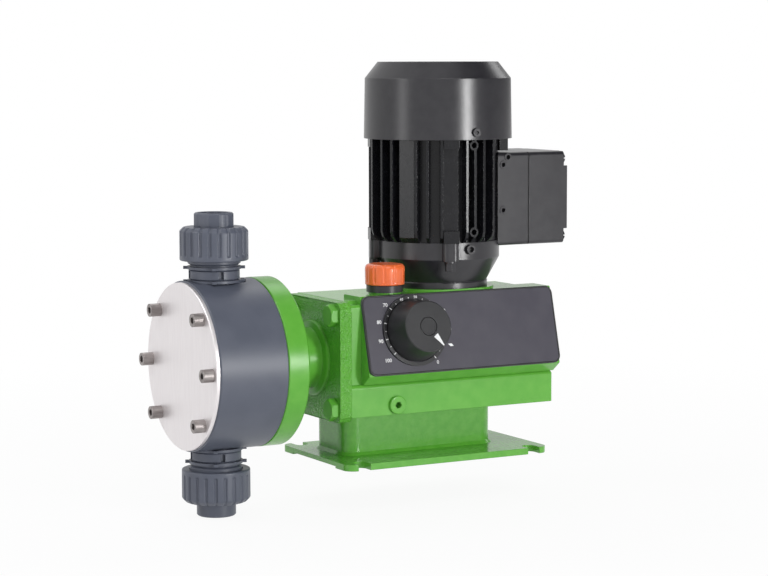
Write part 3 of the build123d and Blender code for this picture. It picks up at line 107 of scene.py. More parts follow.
def finish(name, dark, light, rough, spread=0.08, metallic=0.0, grain=900.0, bump=0.08, depth=0.0002,
           tone_scale=60.0, coat=0.0, stretch=(1.0, 1.0, 1.0), edge=0.0004, specular=0.5):
    """Principled material: colour = mix(dark, light, noise(tone_scale * p)), roughness = rough +- spread by
    noise, and height = bump * noise(grain * p), where p is the object coordinate stretched along its axes."""
    material = bpy.data.materials.new(name)
    material.use_nodes = True
    tree = material.node_tree
    shader = tree.nodes["Principled BSDF"]
    shader.inputs["Metallic"].default_value = metallic
    shader.inputs["Specular IOR Level"].default_value = specular
    shader.inputs["Coat Weight"].default_value = coat
    shader.inputs["Coat Roughness"].default_value = coat_rough
    place = add_node(tree, "ShaderNodeTexCoord")
    mapping = add_node(tree, "ShaderNodeMapping", Scale=stretch)
    tree.links.new(place.outputs["Object"], mapping.inputs["Vector"])
    tone = add_node(tree, "ShaderNodeTexNoise", Scale=tone_scale, Detail=tone_detail)
    tree.links.new(mapping.outputs["Vector"], tone.inputs["Vector"])
    ramp = add_node(tree, "ShaderNodeValToRGB")
    for stop, position, colour in zip(ramp.color_ramp.elements, tone_spread, (dark, light)):
        stop.position = position
        stop.color = (*colour, 1.0)
    tree.links.new(tone.outputs["Fac"], ramp.inputs["Fac"])
    tree.links.new(ramp.outputs["Color"], shader.inputs["Base Color"])
    gloss = add_node(tree, "ShaderNodeMapRange", To_Min=max(least_rough, rough - spread),
                     To_Max=rough + spread)
    tree.links.new(tone.outputs["Fac"], gloss.inputs["Value"])
    tree.links.new(gloss.outputs["Result"], shader.inputs["Roughness"])
    fine = add_node(tree, "ShaderNodeTexNoise", Scale=grain, Detail=grain_detail)
    tree.links.new(mapping.outputs["Vector"], fine.inputs["Vector"])
    relief = add_node(tree, "ShaderNodeBump", Strength=bump, Distance=depth)
    tree.links.new(fine.outputs["Fac"], relief.inputs["Height"])
    if edge > 0:
        rounding = add_node(tree, "ShaderNodeBevel", Radius=edge)
        rounding.samples = bevel_samples
        tree.links.new(rounding.outputs["Normal"], relief.inputs["Normal"])
    tree.links.new(relief.outputs["Normal"], shader.inputs["Normal"])
    return material


print("finish helper ready")

# %% [markdown]
# ### Paints
#
# The castings are sprayed with a glossy green paint, and the rough skin of the casting shows under it on
# the foot. The motor is sprayed black, satin on its smooth covers. Its finned frame gets a darker black with
# a weaker sheen: that is painted shade, standing for the shade that the fins cast on one another. So each
# colour has two finishes, which is simpler than one that has to find out what it is painted on.

# %% Make the paints
green = finish("green_paint", (0.110, 0.400, 0.040), (0.128, 0.430, 0.048), 0.26, 0.03, grain=420,
               bump=0.06, depth=0.0005, tone_scale=90, coat=0.22, edge=0.0008, specular=0.42)
green_cast = finish("green_cast_paint", (0.105, 0.390, 0.038), (0.130, 0.435, 0.050), 0.24, 0.03, grain=460,
                    bump=0.30, depth=0.0005, tone_scale=150, coat=0.12, edge=0.0008)
black_paint = finish("black_motor_paint", (0.015, 0.014, 0.018), (0.020, 0.019, 0.023), 0.29, 0.03,
                     grain=1600, bump=0.10, depth=0.0003, tone_scale=120, edge=0.0006, specular=0.62)
# Painted shade: the frame's darker black and weaker sheen stand for the shade between the fins.
frame_paint_and_shade = finish("black_frame_paint", (0.006, 0.006, 0.008), (0.009, 0.009, 0.011), 0.27, 0.03,
                     grain=1600, bump=0.10, depth=0.0003, tone_scale=120, edge=0.0006, specular=0.34)
print("paints:", len(bpy.data.materials))

# %% [markdown]
# ### Plastics and rubber
#
# The head and the unions are slate grey PVC with a soft, even sheen, the knob is a black plastic, the panel
# wears a dark film, and the vent cap is a bright, slightly glossy orange. A plastic is one colour all
# through, so its two tones lie close together. The printed marks are flat white and need no rounded edges.

# %% Make the plastics and the rubber
black_plastic = finish("black_plastic", (0.018, 0.018, 0.020), (0.026, 0.026, 0.028), 0.38, 0.05, grain=2200,
                       bump=0.08, edge=0.0004)
panel_film = finish("panel_film", (0.052, 0.048, 0.066), (0.062, 0.058, 0.076), 0.42, 0.03, grain=3000,
                    bump=0.10, edge=0.0005)
pvc = finish("slate_pvc", (0.086, 0.096, 0.128), (0.098, 0.108, 0.142), 0.40, 0.05, grain=1500, bump=0.05,
             tone_scale=45, edge=0.0005)
orange = finish("orange_plastic", (0.80, 0.135, 0.030), (0.90, 0.17, 0.040), 0.28, 0.05, grain=1800,
                bump=0.05, edge=0.0006, coat=0.2)
white_mark = finish("white_mark", (0.80, 0.80, 0.80), (0.88, 0.88, 0.88), 0.5, 0.05, edge=0.0)
rubber = finish("rubber", (0.018, 0.018, 0.018), (0.028, 0.028, 0.028), 0.7, 0.08, grain=1500, bump=0.2)
print("finishes so far:", len(bpy.data.materials))

# %% [markdown]
# ### Metals and ceramic
#
# The front plate is fine-rolled stainless steel, nearly white. Rolling leaves lines, so its noise is drawn
# out along one axis. The head screws are darker, and the knurl round them is a strong bump drawn out along
# the screw, because so fine a pattern would cost too many faces. The pieces inside are steel, bronze,
# copper, aluminium and ceramic, as is usual in such a pump.

# %% Make the metals and the ceramic
stainless = finish("stainless_plate", (0.800, 0.762, 0.768), (0.83, 0.795, 0.800), 0.42, 0.04, metallic=0.75,
                   grain=2600, bump=0.07, stretch=(1.0, 1.0, 0.12), tone_scale=420, edge=0.0003)
screw_steel = finish("screw_steel", (0.24, 0.215, 0.21), (0.38, 0.35, 0.34), 0.46, 0.08, metallic=0.85,
                     grain=900, bump=0.55, depth=0.0003, stretch=(0.25, 1.0, 1.0), tone_scale=260,
                     edge=0.0005)
steel = finish("zinc_steel", (0.50, 0.49, 0.46), (0.62, 0.61, 0.58), 0.30, 0.08, metallic=0.95, grain=900,
               bump=0.08, edge=0.0004)
bronze = finish("bronze", (0.48, 0.28, 0.11), (0.58, 0.36, 0.15), 0.35, 0.08, metallic=0.95)
copper = finish("copper_wire", (0.50, 0.16, 0.06), (0.62, 0.22, 0.09), 0.4, 0.08, metallic=0.8, grain=700,
                bump=0.5)
laminated = finish("laminated_steel", (0.16, 0.16, 0.18), (0.24, 0.24, 0.26), 0.45, 0.08, metallic=0.8,
                   stretch=(0.05, 0.05, 1.0), grain=2500, bump=0.3)
ceramic = finish("ceramic", (0.80, 0.78, 0.72), (0.86, 0.84, 0.79), 0.12, 0.03, coat=0.5, edge=0.0)
aluminium = finish("aluminium", (0.55, 0.55, 0.57), (0.64, 0.64, 0.66), 0.35, 0.08, metallic=0.9)
print("finishes:", len(bpy.data.materials))

# %% [markdown]
# ### One casting with three skins
#
# The rim of the square flange is left as it came from the mould, so it glitters. Its face is a little
# smoother, and the round disc is turned smooth before it is painted. One material can do all three: it
# measures how far a point lies from the flange's axis, first along Y and then along Z, and keeps the larger
# of the two. Where that is close to half the flange's size, the point is on the rim, and a second, coarser
# relief comes in there in full. On the face it comes in by half, and on the disc not at all.

# %% Measure where a point lies on the casting
head_axis_z = 0.0857
disc_back_x = 0.0965
rim_from, rim_full, face_share = 0.0474, 0.0482, 0.5
rim_paint = green.copy()
rim_paint.name = "green_flange_paint"
tree = rim_paint.node_tree
place = next(node for node in tree.nodes if node.type == "TEX_COORD")
centred = add_node(tree, "ShaderNodeVectorMath", "SUBTRACT")
centred.inputs[1].default_value = (0.0, 0.0, head_axis_z)
tree.links.new(place.outputs["Object"], centred.inputs[0])
apart = add_node(tree, "ShaderNodeVectorMath", "ABSOLUTE")
tree.links.new(centred.outputs[0], apart.inputs[0])
split = add_node(tree, "ShaderNodeSeparateXYZ")
tree.links.new(apart.outputs[0], split.inputs[0])
larger = add_node(tree, "ShaderNodeMath", "MAXIMUM")
tree.links.new(split.outputs["Y"], larger.inputs[0])
tree.links.new(split.outputs["Z"], larger.inputs[1])
behind_disc = add_node(tree, "ShaderNodeMath", "LESS_THAN")
behind_disc.inputs[1].default_value = disc_back_x
tree.links.new(split.outputs["X"], behind_disc.inputs[0])
on_rim = add_node(tree, "ShaderNodeMapRange", From_Min=rim_from, From_Max=rim_full, To_Min=face_share)
tree.links.new(larger.outputs[0], on_rim.inputs["Value"])
rough_share = add_node(tree, "ShaderNodeMath", "MULTIPLY")
tree.links.new(on_rim.outputs["Result"], rough_share.inputs[0])
tree.links.new(behind_disc.outputs[0], rough_share.inputs[1])
print("rim from", rim_from, "to", rim_full)

# %% Add the coarse relief
rim_grain, rim_detail, rim_depth = 480.0, 2.0, 0.0024
shader = next(node for node in tree.nodes if node.type == "BSDF_PRINCIPLED")
shader.inputs["Coat Weight"].default_value = 0.0
smooth_relief = next(node for node in tree.nodes if node.type == "BUMP")
coarse = add_node(tree, "ShaderNodeTexNoise", Scale=rim_grain, Detail=rim_detail)
tree.links.new(place.outputs["Object"], coarse.inputs["Vector"])
hammer = add_node(tree, "ShaderNodeMath", "MULTIPLY")
tree.links.new(coarse.outputs["Fac"], hammer.inputs[0])
tree.links.new(rough_share.outputs[0], hammer.inputs[1])
rough_relief = add_node(tree, "ShaderNodeBump", Strength=1.0, Distance=rim_depth)
tree.links.new(hammer.outputs[0], rough_relief.inputs["Height"])
tree.links.new(smooth_relief.outputs["Normal"], rough_relief.inputs["Normal"])
tree.links.new(rough_relief.outputs["Normal"], shader.inputs["Normal"])
print("flange paint nodes:", len(tree.nodes))

# %% [markdown]
# ## Dressing the solids
#
# Each solid wears one finish. One table says which, because a reader can check it at a glance and a solid
# that was forgotten shows up in the printed list.

# %% Give every solid its finish
wearing = {
    green: "gear_housing drain_plug flange_bolts",
    green_cast: "base_frame",
    rim_paint: "lantern",
    # the finned frame's finish carries painted shade between the fins
    frame_paint_and_shade: "motor_housing",
    black_paint: "motor_adapter top_shield fan_cowl terminal_box terminal_lid shield_bolts "
                 "cowl_screws lid_screws",
    black_plastic: "vent_collar scale_ring knob_cap cooling_fan terminal_board cable_entry_plug "
                   "adjusting_knob",
    panel_film: "operating_panel",
    pvc: "dosing_head suction_valve_body discharge_valve_body suction_nut discharge_nut suction_insert "
         "discharge_insert ball_stops",
    orange: "vent_cap",
    white_mark: "knob_pointer",
    stainless: "cover_plate",
    screw_steel: "head_screws",
    steel: "push_rod return_spring eccentric_shaft shaft_bearings worm motor_shaft lower_bearing "
           "motor_bearings foot_screws adjusting_spindle",
    bronze: "guide_bushes worm_wheel",
    copper: "stator_windings",
    laminated: "stator_core rotor_core",
    ceramic: "valve_seats suction_ball discharge_ball",
    rubber: "diaphragm union_seals shaft_seal lid_gasket",
    aluminium: "diaphragm_clamp",
}
dressed = set()
for material, names in wearing.items():
    for name in names.split():
        solid = frame["nodes"][name]
        solid.data.materials.clear()
        solid.data.materials.append(material)
        dressed.add(name)
print("solids without a finish:", sorted(set(frame["nodes"]) - dressed))

# %% [markdown]
# ## Surfaces from a grid of points
#
# The moulded pieces are surfaces of revolution with ribs. Such a surface is a grid: one direction runs
# along the section, the other runs round the axis. With numpy the whole grid is worked out in a few lines,
# with no loop over its points. Point (i, j) of a grid with n columns has the number i * n + j, so the four
# corners of every face follow from one table of numbers, and rolling that table by one place finds the
# neighbours.

# %% Helpers that make a mesh


def grid_faces(rows, columns):
    """Quads of a rows x columns grid that closes on itself both ways: each point with its next neighbours."""
    numbers = np.arange(rows * columns).reshape(rows, columns)
    ahead = np.roll(numbers, -1, axis=0)
    return np.stack([numbers, np.roll(numbers, -1, 1), np.roll(ahead, -1, 1), ahead], axis=-1).reshape(-1, 4)


def mesh_object(name, points, faces, material, smooth_angle=35.0):
    """Mesh from an array of points and an array of faces of equal length, smooth below the crease angle."""
    mesh = bpy.data.meshes.new(name)
    sides = faces.shape[1]
    mesh.vertices.add(len(points))
    mesh.vertices.foreach_set("co", points.astype(np.float32).ravel())
    mesh.loops.add(faces.size)
    mesh.loops.foreach_set("vertex_index", faces.astype(np.int32).ravel())
    mesh.polygons.add(len(faces))
    mesh.polygons.foreach_set("loop_start", np.arange(0, faces.size, sides, dtype=np.int32))
    mesh.update(calc_edges=True)
    mesh.validate()
    mesh.materials.append(material)
    mesh.shade_smooth()
    mesh.set_sharp_from_angle(angle=math.radians(smooth_angle))
    piece = bpy.data.objects.new(name, mesh)
    bpy.context.collection.objects.link(piece)
    return piece


print("mesh helpers ready")

# %% [markdown]
# ### Sections with rounded corners
#
# A moulded part has no sharp corner. Its section could be drawn with arcs, but a quadratic curve needs only
# the corner and a distance, and looks the same at this size. Long straight steps are then divided, so that
# the ribs have points to bend at.

# %% Helpers for the section


def rounded_section(corners, radii, steps=5):
    """Closed section through (r, z) corners. Each corner is replaced by a quadratic curve: with the cut
    points a and b at the given distance from the corner c, it is (1-t)^2 a + 2t(1-t) c + t^2 b."""
    corners = np.array(corners, dtype=float)
    before = np.roll(corners, 1, axis=0) - corners
    after = np.roll(corners, -1, axis=0) - corners
    radii = np.array(radii, dtype=float)[:, None]
    a = corners + before / np.linalg.norm(before, axis=1, keepdims=True) * radii
    b = corners + after / np.linalg.norm(after, axis=1, keepdims=True) * radii
    t = np.linspace(0.0, 1.0, steps)[None, :, None]
    curve = (1 - t) ** 2 * a[:, None] + 2 * t * (1 - t) * corners[:, None] + t ** 2 * b[:, None]
    return curve.reshape(-1, 2)


def densify(section, longest):
    """Section with each straight step divided until no step is longer than the given length."""
    following = np.roll(section, -1, axis=0)
    parts = np.maximum(1, np.ceil(np.linalg.norm(following - section, axis=1) / longest)).astype(int)
    start = np.repeat(section, parts, axis=0)
    end = np.repeat(following, parts, axis=0)
    share = np.concatenate([np.arange(n) / n for n in parts])[:, None]
    return start + (end - start) * share


print("section helpers ready")

# %% [markdown]
# ### Grooves round a ring
#
# Ribs are what stands between grooves. A wave says how deep the groove is at each angle, and a share says
# how much of it each point of the section takes, from none on the rim to all of it on the ribbed part.

# %% Helpers for the grooves


def soft_step(value):
    """0 below 0, 1 above 1 and the smooth curve t^2 (3 - 2t) in between."""
    t = np.clip(value, 0.0, 1.0)
    return t * t * (3.0 - 2.0 * t)


def groove_wave(turns, ribs, width, soft):
    """1 in the middle of each of the evenly spaced grooves and 0 on the ribs: with d the distance round the
    rim from the nearest groove's middle, the wave is 1 - soft_step((d - width/2 + soft) / (2 soft))."""
    spacing = 2 * np.pi / ribs
    d = np.abs((turns + spacing / 2) % spacing - spacing / 2)
    return 1.0 - soft_step((d - width / 2 + soft) / (2 * soft))


def turned_ribs(section, centre, columns, depth, wave, share):
    """Points of a ribbed ring: with r(i, j) = r_i - depth * share_i * wave_j, the point (i, j) is the centre
    plus (r cos, r sin, z_i)."""
    turns = np.linspace(0.0, 2 * np.pi, columns, endpoint=False)
    radius = section[:, :1] - depth * share[:, None] * wave(turns)[None, :]
    height = np.repeat(section[:, 1:], columns, axis=1)
    points = [centre[0] + radius * np.cos(turns), centre[1] + radius * np.sin(turns), centre[2] + height]
    return np.stack(points, axis=-1).reshape(-1, 3)


print("groove helpers ready")

# %% [markdown]
# ## Union nuts
#
# A moulded union nut has a plain rim at the thread end and narrow grooves between broad ribs up to its
# bevelled outer end. The grooves have soft sides, because the mould has to let go. The lower nut is the
# upper one turned upside down, so one function makes both, with a direction of +1 or -1.

# %% Sizes of a union nut
valve_axis_x = -0.1829
nut_from, nut_high, nut_out = 0.0835, 0.0266, 0.02734
nut_bore, nut_neck, nut_roof, nut_bevel = 0.0213, 0.0160, 0.0040, 0.0032
nut_corners = [(nut_bore, 0.0), (nut_out, 0.0), (nut_out, nut_high - nut_bevel),
               (nut_out - nut_bevel, nut_high), (nut_neck, nut_high), (nut_neck, nut_high - nut_roof),
               (nut_bore, nut_high - nut_roof)]
nut_radii = [0.0004, 0.0012, 0.0009, 0.0009, 0.0004, 0.0003, 0.0003]
nut_ribs, rib_columns, nut_step = 22, 20, 0.0009
groove_deep, groove_wide, groove_soft = 0.00125, 0.085, 0.022
rim_high, skin_deep, groove_fade = 0.0036, 0.0040, 0.0010
print("nut:", round(2000 * nut_out, 1), "mm across,", nut_ribs, "ribs")

# %% Make the union nuts


def union_nut(name, way, first_deg):
    """Ribbed nut whose section is closed, so it is a ring without poles; way is +1 upwards, -1 downwards."""
    section = densify(rounded_section(nut_corners, nut_radii), nut_step)
    above_rim = soft_step((section[:, 1] - rim_high) / groove_fade)
    outside = np.clip((section[:, 0] - (nut_out - skin_deep)) / groove_fade, 0.0, 1.0)
    first = math.radians(first_deg)
    columns = nut_ribs * rib_columns
    points = turned_ribs(section, (0.0, 0.0, nut_from), columns, groove_deep,
                         lambda turns: groove_wave(turns - first, nut_ribs, groove_wide, groove_soft),
                         above_rim * outside)
    faces = grid_faces(len(section), columns)
    points[:, 2] *= way
    if way > 0:
        faces = faces[:, ::-1]
    points += np.array([valve_axis_x, 0.0, head_axis_z])
    return mesh_object(name, points, faces, pvc)


for word, way, first_deg in (("discharge", 1, 8.9), ("suction", -1, 15.3)):
    nut = union_nut(f"{word}_ribbed_nut", way, first_deg)
    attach(nut, f"{word}_union_nut")
    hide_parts(f"{word}_nut")
    print(nut.name, "points:", len(nut.data.vertices))

# %% [markdown]
# ## Vent cap
#
# The orange cap is moulded too: a short cup with a well rounded crown and shallow, soft flutes. Its section
# runs from the thread up the outside, over the crown and down the bore. The cap's place and size are read
# from the solid that it stands for, so the two can't drift apart.

# %% Sizes of the vent cap
cap_low, cap_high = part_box("vent_cap")
cap_x, cap_y = (cap_low[0] + cap_high[0]) / 2, (cap_low[1] + cap_high[1]) / 2
cap_r = (cap_high[0] - cap_low[0]) / 2
cap_tall = cap_high[2] - cap_low[2]
cap_bore, cap_deep, cap_pole, cap_draft = 0.0103, 0.0095, 0.0006, 0.0004
cap_corners = [(cap_bore, 0.0), (cap_r - cap_draft, 0.0), (cap_r, cap_tall), (cap_pole, cap_tall),
               (cap_pole, cap_deep), (cap_bore, cap_deep)]
cap_radii = [0.0003, 0.0010, 0.0046, 0.0002, 0.0002, 0.0005]
cap_curve_steps, cap_step = 9, 0.0008
flutes, flute_columns = 12, 30
flute_deep, flute_wide, flute_soft = 0.0005, 0.11, 0.05
foot_high, foot_fade = 0.0012, 0.0015
skin_from, skin_fade = 0.0110, 0.0020
print("cap:", round(2000 * cap_r, 1), "mm across,", flutes, "flutes")

# %% Make the vent cap
section = densify(rounded_section(cap_corners, cap_radii, cap_curve_steps), cap_step)
above_foot = np.clip((section[:, 1] - foot_high) / foot_fade, 0.0, 1.0)
outside = np.clip((section[:, 0] - skin_from) / skin_fade, 0.0, 1.0)
columns = flutes * flute_columns
points = turned_ribs(section, (cap_x, cap_y, cap_low[2]), columns, flute_deep,
                     lambda turns: groove_wave(turns, flutes, flute_wide, flute_soft), above_foot * outside)
vent_cap = mesh_object("fluted_vent_cap", points, grid_faces(len(section), columns)[:, ::-1], orange)
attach(vent_cap, "vent_screw_cap")
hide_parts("vent_cap")
print("vent cap points:", len(vent_cap.data.vertices))

# %% [markdown]
# ## Scale on the panel
#
# The knob's scale is printed in white: marks on the raised ring, and numbers outside it. Near the upper
# edge of the panel there is no room outside the ring, so the three numbers there are smaller and stand on
# the ring in place of their marks. A small wedge stands between the first two numbers. The panel leans
# back, so everything is laid out flat first and one matrix then carries it onto the slope. Its columns are
# the panel's own directions: along the panel, up the slope and outwards.

# %% Place of the panel
lean = math.radians(14.35)
slope_point = Vector((-0.0295, -0.0521, 0.10675))
knob_up = 0.0022
panel_along = Vector((1.0, 0.0, 0.0))
panel_up = Vector((0.0, math.sin(lean), math.cos(lean)))
panel_out = Vector((0.0, -math.cos(lean), math.sin(lean)))
onto_panel = Matrix((panel_along, panel_up, panel_out)).transposed().to_4x4()
onto_panel.translation = slope_point + panel_up * knob_up
print("knob centre:", [round(v, 4) for v in onto_panel.translation])

# %% Layout of the scale
scale_from, scale_step, number_count = -56.0, 27.6, 11
on_ring = (4, 5, 6)
wedge_number, wedge_deg = 1, -22.9
ring_top, ink_high = 0.0016, 0.00012
mark_from, long_to, short_to = 0.0263, 0.0286, 0.0275
long_wide, short_wide = 0.00062, 0.00045
print("scale sweeps", round(scale_step * (number_count - 1)), "degrees")

# %% [markdown]
# ### Marks
#
# A mark is a very thin box, so that it has a real edge and isn't lost in the ring. All marks go into one
# mesh: the eight corners of a box are written once, and numpy turns and places them for every angle at the
# same time. The wedge has eight corners too, so it shares the table of sides.

# %% A helper for the marks
box_sides = np.array([(0, 3, 2, 1), (4, 5, 6, 7), (0, 1, 5, 4), (1, 2, 6, 5), (2, 3, 7, 6), (3, 0, 4, 7)])
box_corners = np.array([(0, -1, 0), (1, -1, 0), (1, 1, 0), (0, 1, 0), (0, -1, 1), (1, -1, 1), (1, 1, 1),
                        (0, 1, 1)])


def thin_boxes(spans, turns, high):
    """Thin boxes laid radially, one for each row (from, to, width) of spans: the corners (r, +-width/2,
    0 or high) are turned by the angle of the box."""
    radius = spans[:, 0:1] + (spans[:, 1:2] - spans[:, 0:1]) * box_corners[None, :, 0]
    across = spans[:, 2:3] / 2 * box_corners[None, :, 1]
    lift = np.broadcast_to(box_corners[None, :, 2] * high, radius.shape)
    c, s = np.cos(turns)[:, None], np.sin(turns)[:, None]
    points = np.stack([radius * c - across * s, radius * s + across * c, lift], axis=-1).reshape(-1, 3)
    faces = (box_sides[None] + 8 * np.arange(len(spans))[:, None, None]).reshape(-1, 4)
    return points, faces


print("mark helper ready")

# %% Marks round the knob
flat_angle = 20.0
half_steps = np.arange(2 * number_count - 1)
half_steps = half_steps[~np.isin(half_steps, 2 * np.array(on_ring))]
mark_turns = np.radians(scale_from + scale_step / 2 * half_steps)
long_mark = half_steps % 2 == 0
spans = np.stack([np.full(len(mark_turns), mark_from), np.where(long_mark, long_to, short_to),
                  np.where(long_mark, long_wide, short_wide)], axis=-1)
points, faces = thin_boxes(spans, mark_turns, ink_high)
marks = mesh_object("scale_marks", points, faces, white_mark, flat_angle)
marks.data.transform(onto_panel @ Matrix.Translation((0.0, 0.0, ring_top)))
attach(marks, "frame")
print("marks:", len(mark_turns))

# %% Wedge beside the knob
wedge = np.array([(0.0322, 0.0), (0.0352, -0.0012), (0.0378, 0.0002), (0.0352, 0.0014)])
wedge = np.vstack([np.column_stack([wedge, np.full(4, z)]) for z in (0.0, ink_high)])
arrow = mesh_object("scale_arrow", wedge, box_sides, white_mark, flat_angle)
arrow.data.transform(onto_panel @ Matrix.Rotation(math.radians(wedge_deg), 4, "Z"))
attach(arrow, "frame")
print("wedge at", wedge_deg, "degrees")

# %% [markdown]
# ### Numbers
#
# A number is a text object first. Blender turns the text into a mesh, and that mesh is then carried to its
# place with the same matrix as the marks. The numbers stay upright on the panel and don't turn with the
# scale, so each one is only shifted outwards along its own angle.

# %% A helper for the numbers
ink_half = 0.00006


def number_mesh(text, size):
    """Mesh of a text centred on the origin: its outline is pushed out and its faces are moved apart, both by
    ink_half to either side, so the strokes are a little bolder and have a thickness."""
    letters = bpy.data.curves.new("number", "FONT")
    letters.body = text
    letters.size = size
    letters.extrude = ink_half
    letters.offset = ink_half
    letters.align_x = "CENTER"
    letters.align_y = "CENTER"
    letters.resolution_u = 3
    drawn = bpy.data.objects.new("number", letters)
    bpy.context.collection.objects.link(drawn)
    bpy.context.view_layer.update()
    shape = bpy.data.meshes.new_from_object(drawn.evaluated_get(bpy.context.evaluated_depsgraph_get()))
    bpy.data.objects.remove(drawn)
    return shape


print("number helper ready")

# %% Numbers of the scale
small_number, large_number = 0.0030, 0.0042
ring_reach, panel_reach, last_reach = 0.0274, 0.0325, 0.0355
numbered = [i for i in range(number_count) if i != wedge_number]
for i in numbered:
    shape = number_mesh(str(10 * i), small_number if i in on_ring else large_number)
    turn = math.radians(scale_from + scale_step * i)
    reach_out = ring_reach if i in on_ring else panel_reach if i < number_count - 1 else last_reach
    lift = ink_half + (ring_top if i in on_ring else 0.0)
    spot = Matrix.Translation((reach_out * math.cos(turn), reach_out * math.sin(turn), lift))
    shape.transform(onto_panel @ spot)
    shape.name = f"scale_number_{10 * i}"
    shape.materials.clear()
    shape.materials.append(white_mark)
    number = bpy.data.objects.new(shape.name, shape)
    bpy.context.collection.objects.link(number)
    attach(number, "frame")
print("numbers:", len(numbered))

# %% [markdown]
# ## Rim of the panel
#
# A thin dark bead runs round the panel plate. It is a sweep: a small circle carried along a closed path.
# The path is the outline of a rounded rectangle, and at each of its points the circle stands square to it.
# The circle is pressed a little flat, because the bead hardly stands out from the plate.

# %% A helper for the outline


def rounded_outline(length, height, radius, steps):
    """Points and outward directions of a rounded rectangle: corner centre plus radius times (cos, sin)."""
    turns = np.linspace(0.0, np.pi / 2, steps)
    quarter = np.arange(4)[:, None] * np.pi / 2 + turns[None, :]
    outward = np.stack([np.cos(quarter), np.sin(quarter)], axis=-1)
    half = np.array([length / 2 - radius, height / 2 - radius])
    centre = np.array([(1, 1), (-1, 1), (-1, -1), (1, -1)]) * half
    return (centre[:, None, :] + radius * outward).reshape(-1, 2), outward.reshape(-1, 2)


print("outline helper ready")

# %% Make the bead round the panel
plate_start_x, plate_length, plate_height = -0.0745, 0.1809, 0.065
path_corner, corner_steps = 0.0058, 12
bead_r, bead_flat, bead_sides = 0.00075, 0.6, 12
path, outward = rounded_outline(plate_length - 2 * bead_r, plate_height - 2 * bead_r, path_corner,
                                corner_steps)
ring = np.linspace(0.0, 2 * np.pi, bead_sides, endpoint=False)
bead = np.concatenate([
    path[:, None, :] + bead_r * np.cos(ring)[None, :, None] * outward[:, None, :],
    np.broadcast_to(bead_r * bead_flat * np.sin(ring)[None, :, None], (len(path), len(ring), 1)),
], axis=-1).reshape(-1, 3)
bead_piece = mesh_object("panel_bead", bead, grid_faces(len(path), len(ring)), black_plastic)
plate_centre = onto_panel.copy()
plate_centre.translation = Vector((plate_start_x + plate_length / 2, slope_point.y, slope_point.z))
bead_piece.data.transform(plate_centre)
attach(bead_piece, "frame")
print("bead points:", len(bead))

# %% [markdown]
# ## Inside and outside
#
# A closed mesh has an inside. If its faces are listed the wrong way round, it still looks right here, but
# another program may take it for a hole. The volume tells: the sum of a . (b x c) / 6 over all triangles is
# positive when they face outwards. A mesh with a negative volume is turned round.

# %% Check that every new surface faces outwards
for piece in (o for o in bpy.data.objects if o.type == "MESH" and o.name not in frame["nodes"]):
    mesh = piece.data
    mesh.calc_loop_triangles()
    corner = np.empty(len(mesh.loop_triangles) * 3, dtype=np.int32)
    mesh.loop_triangles.foreach_get("vertices", corner)
    spot = np.empty(len(mesh.vertices) * 3)
    mesh.vertices.foreach_get("co", spot)
    a, b, c = spot.reshape(-1, 3)[corner.reshape(-1, 3)].transpose(1, 0, 2)
    volume = float(np.einsum("ij,ij->i", a, np.cross(b, c)).sum() / 6)
    if volume < 0:
        mesh.flip_normals()
    print(f"{piece.name}: {volume * 1e9:.2f} mm3")

# %% [markdown]
# ## Floor
#
# The photograph has a white seamless ground. The floor is a wide plane, just under the lower union. A plain
# white floor would need so much light that the pump would wash out. So its material asks what kind of ray
# has met it: for the camera and for mirror-like surfaces it glows white, and for all other light it is
# plain and diffuse. Close to the pump a small part stays diffuse for the camera too, which keeps the soft
# shadow.

# %% Make the floor
floor_z, floor_reach = -0.037, 12.0
corners = [(x * floor_reach, y * floor_reach, floor_z) for x, y in ((-1, -1), (1, -1), (1, 1), (-1, 1))]
floor_mesh = bpy.data.meshes.new("floor")
floor_mesh.from_pydata(corners, [], [(0, 1, 2, 3)])
floor = bpy.data.objects.new("floor", floor_mesh)
bpy.context.collection.objects.link(floor)
print("floor at", floor_z)

# %% Paint the floor
near, far, near_white = 0.25, 0.9, 0.93
floor_material = bpy.data.materials.new("studio_floor")
floor_material.use_nodes = True
tree = floor_material.node_tree
tree.nodes.clear()
plain = add_node(tree, "ShaderNodeBsdfDiffuse", Color=(0.85, 0.85, 0.85, 1.0))
glow = add_node(tree, "ShaderNodeEmission", Strength=1.0)
path = add_node(tree, "ShaderNodeLightPath")
seen = add_node(tree, "ShaderNodeMath", "MAXIMUM")
tree.links.new(path.outputs["Is Camera Ray"], seen.inputs[0])
tree.links.new(path.outputs["Is Glossy Ray"], seen.inputs[1])
place = add_node(tree, "ShaderNodeTexCoord")
away = add_node(tree, "ShaderNodeVectorMath", "LENGTH")
tree.links.new(place.outputs["Object"], away.inputs[0])
white_share = add_node(tree, "ShaderNodeMapRange", From_Min=near, From_Max=far, To_Min=near_white,
                       To_Max=1.0)
tree.links.new(away.outputs["Value"], white_share.inputs["Value"])
share = add_node(tree, "ShaderNodeMath", "MULTIPLY")
tree.links.new(seen.outputs[0], share.inputs[0])
tree.links.new(white_share.outputs["Result"], share.inputs[1])
blend = add_node(tree, "ShaderNodeMixShader")
tree.links.new(share.outputs[0], blend.inputs["Fac"])
tree.links.new(plain.outputs[0], blend.inputs[1])
tree.links.new(glow.outputs[0], blend.inputs[2])
out = add_node(tree, "ShaderNodeOutputMaterial")
tree.links.new(blend.outputs[0], out.inputs["Surface"])
floor_mesh.materials.append(floor_material)
print("floor paint nodes:", len(tree.nodes))

# %% [markdown]
# ## Sky
#
# The world does three jobs. The camera sees plain white. Diffuse surfaces get a weak, even light that opens
# the shadows. Mirror-like surfaces see a studio with a bright side and a dark side, because black paint
# shows its shape only by what it mirrors. How bright a direction is follows from its dot product with one
# fixed direction, with a soft step between the two sides.

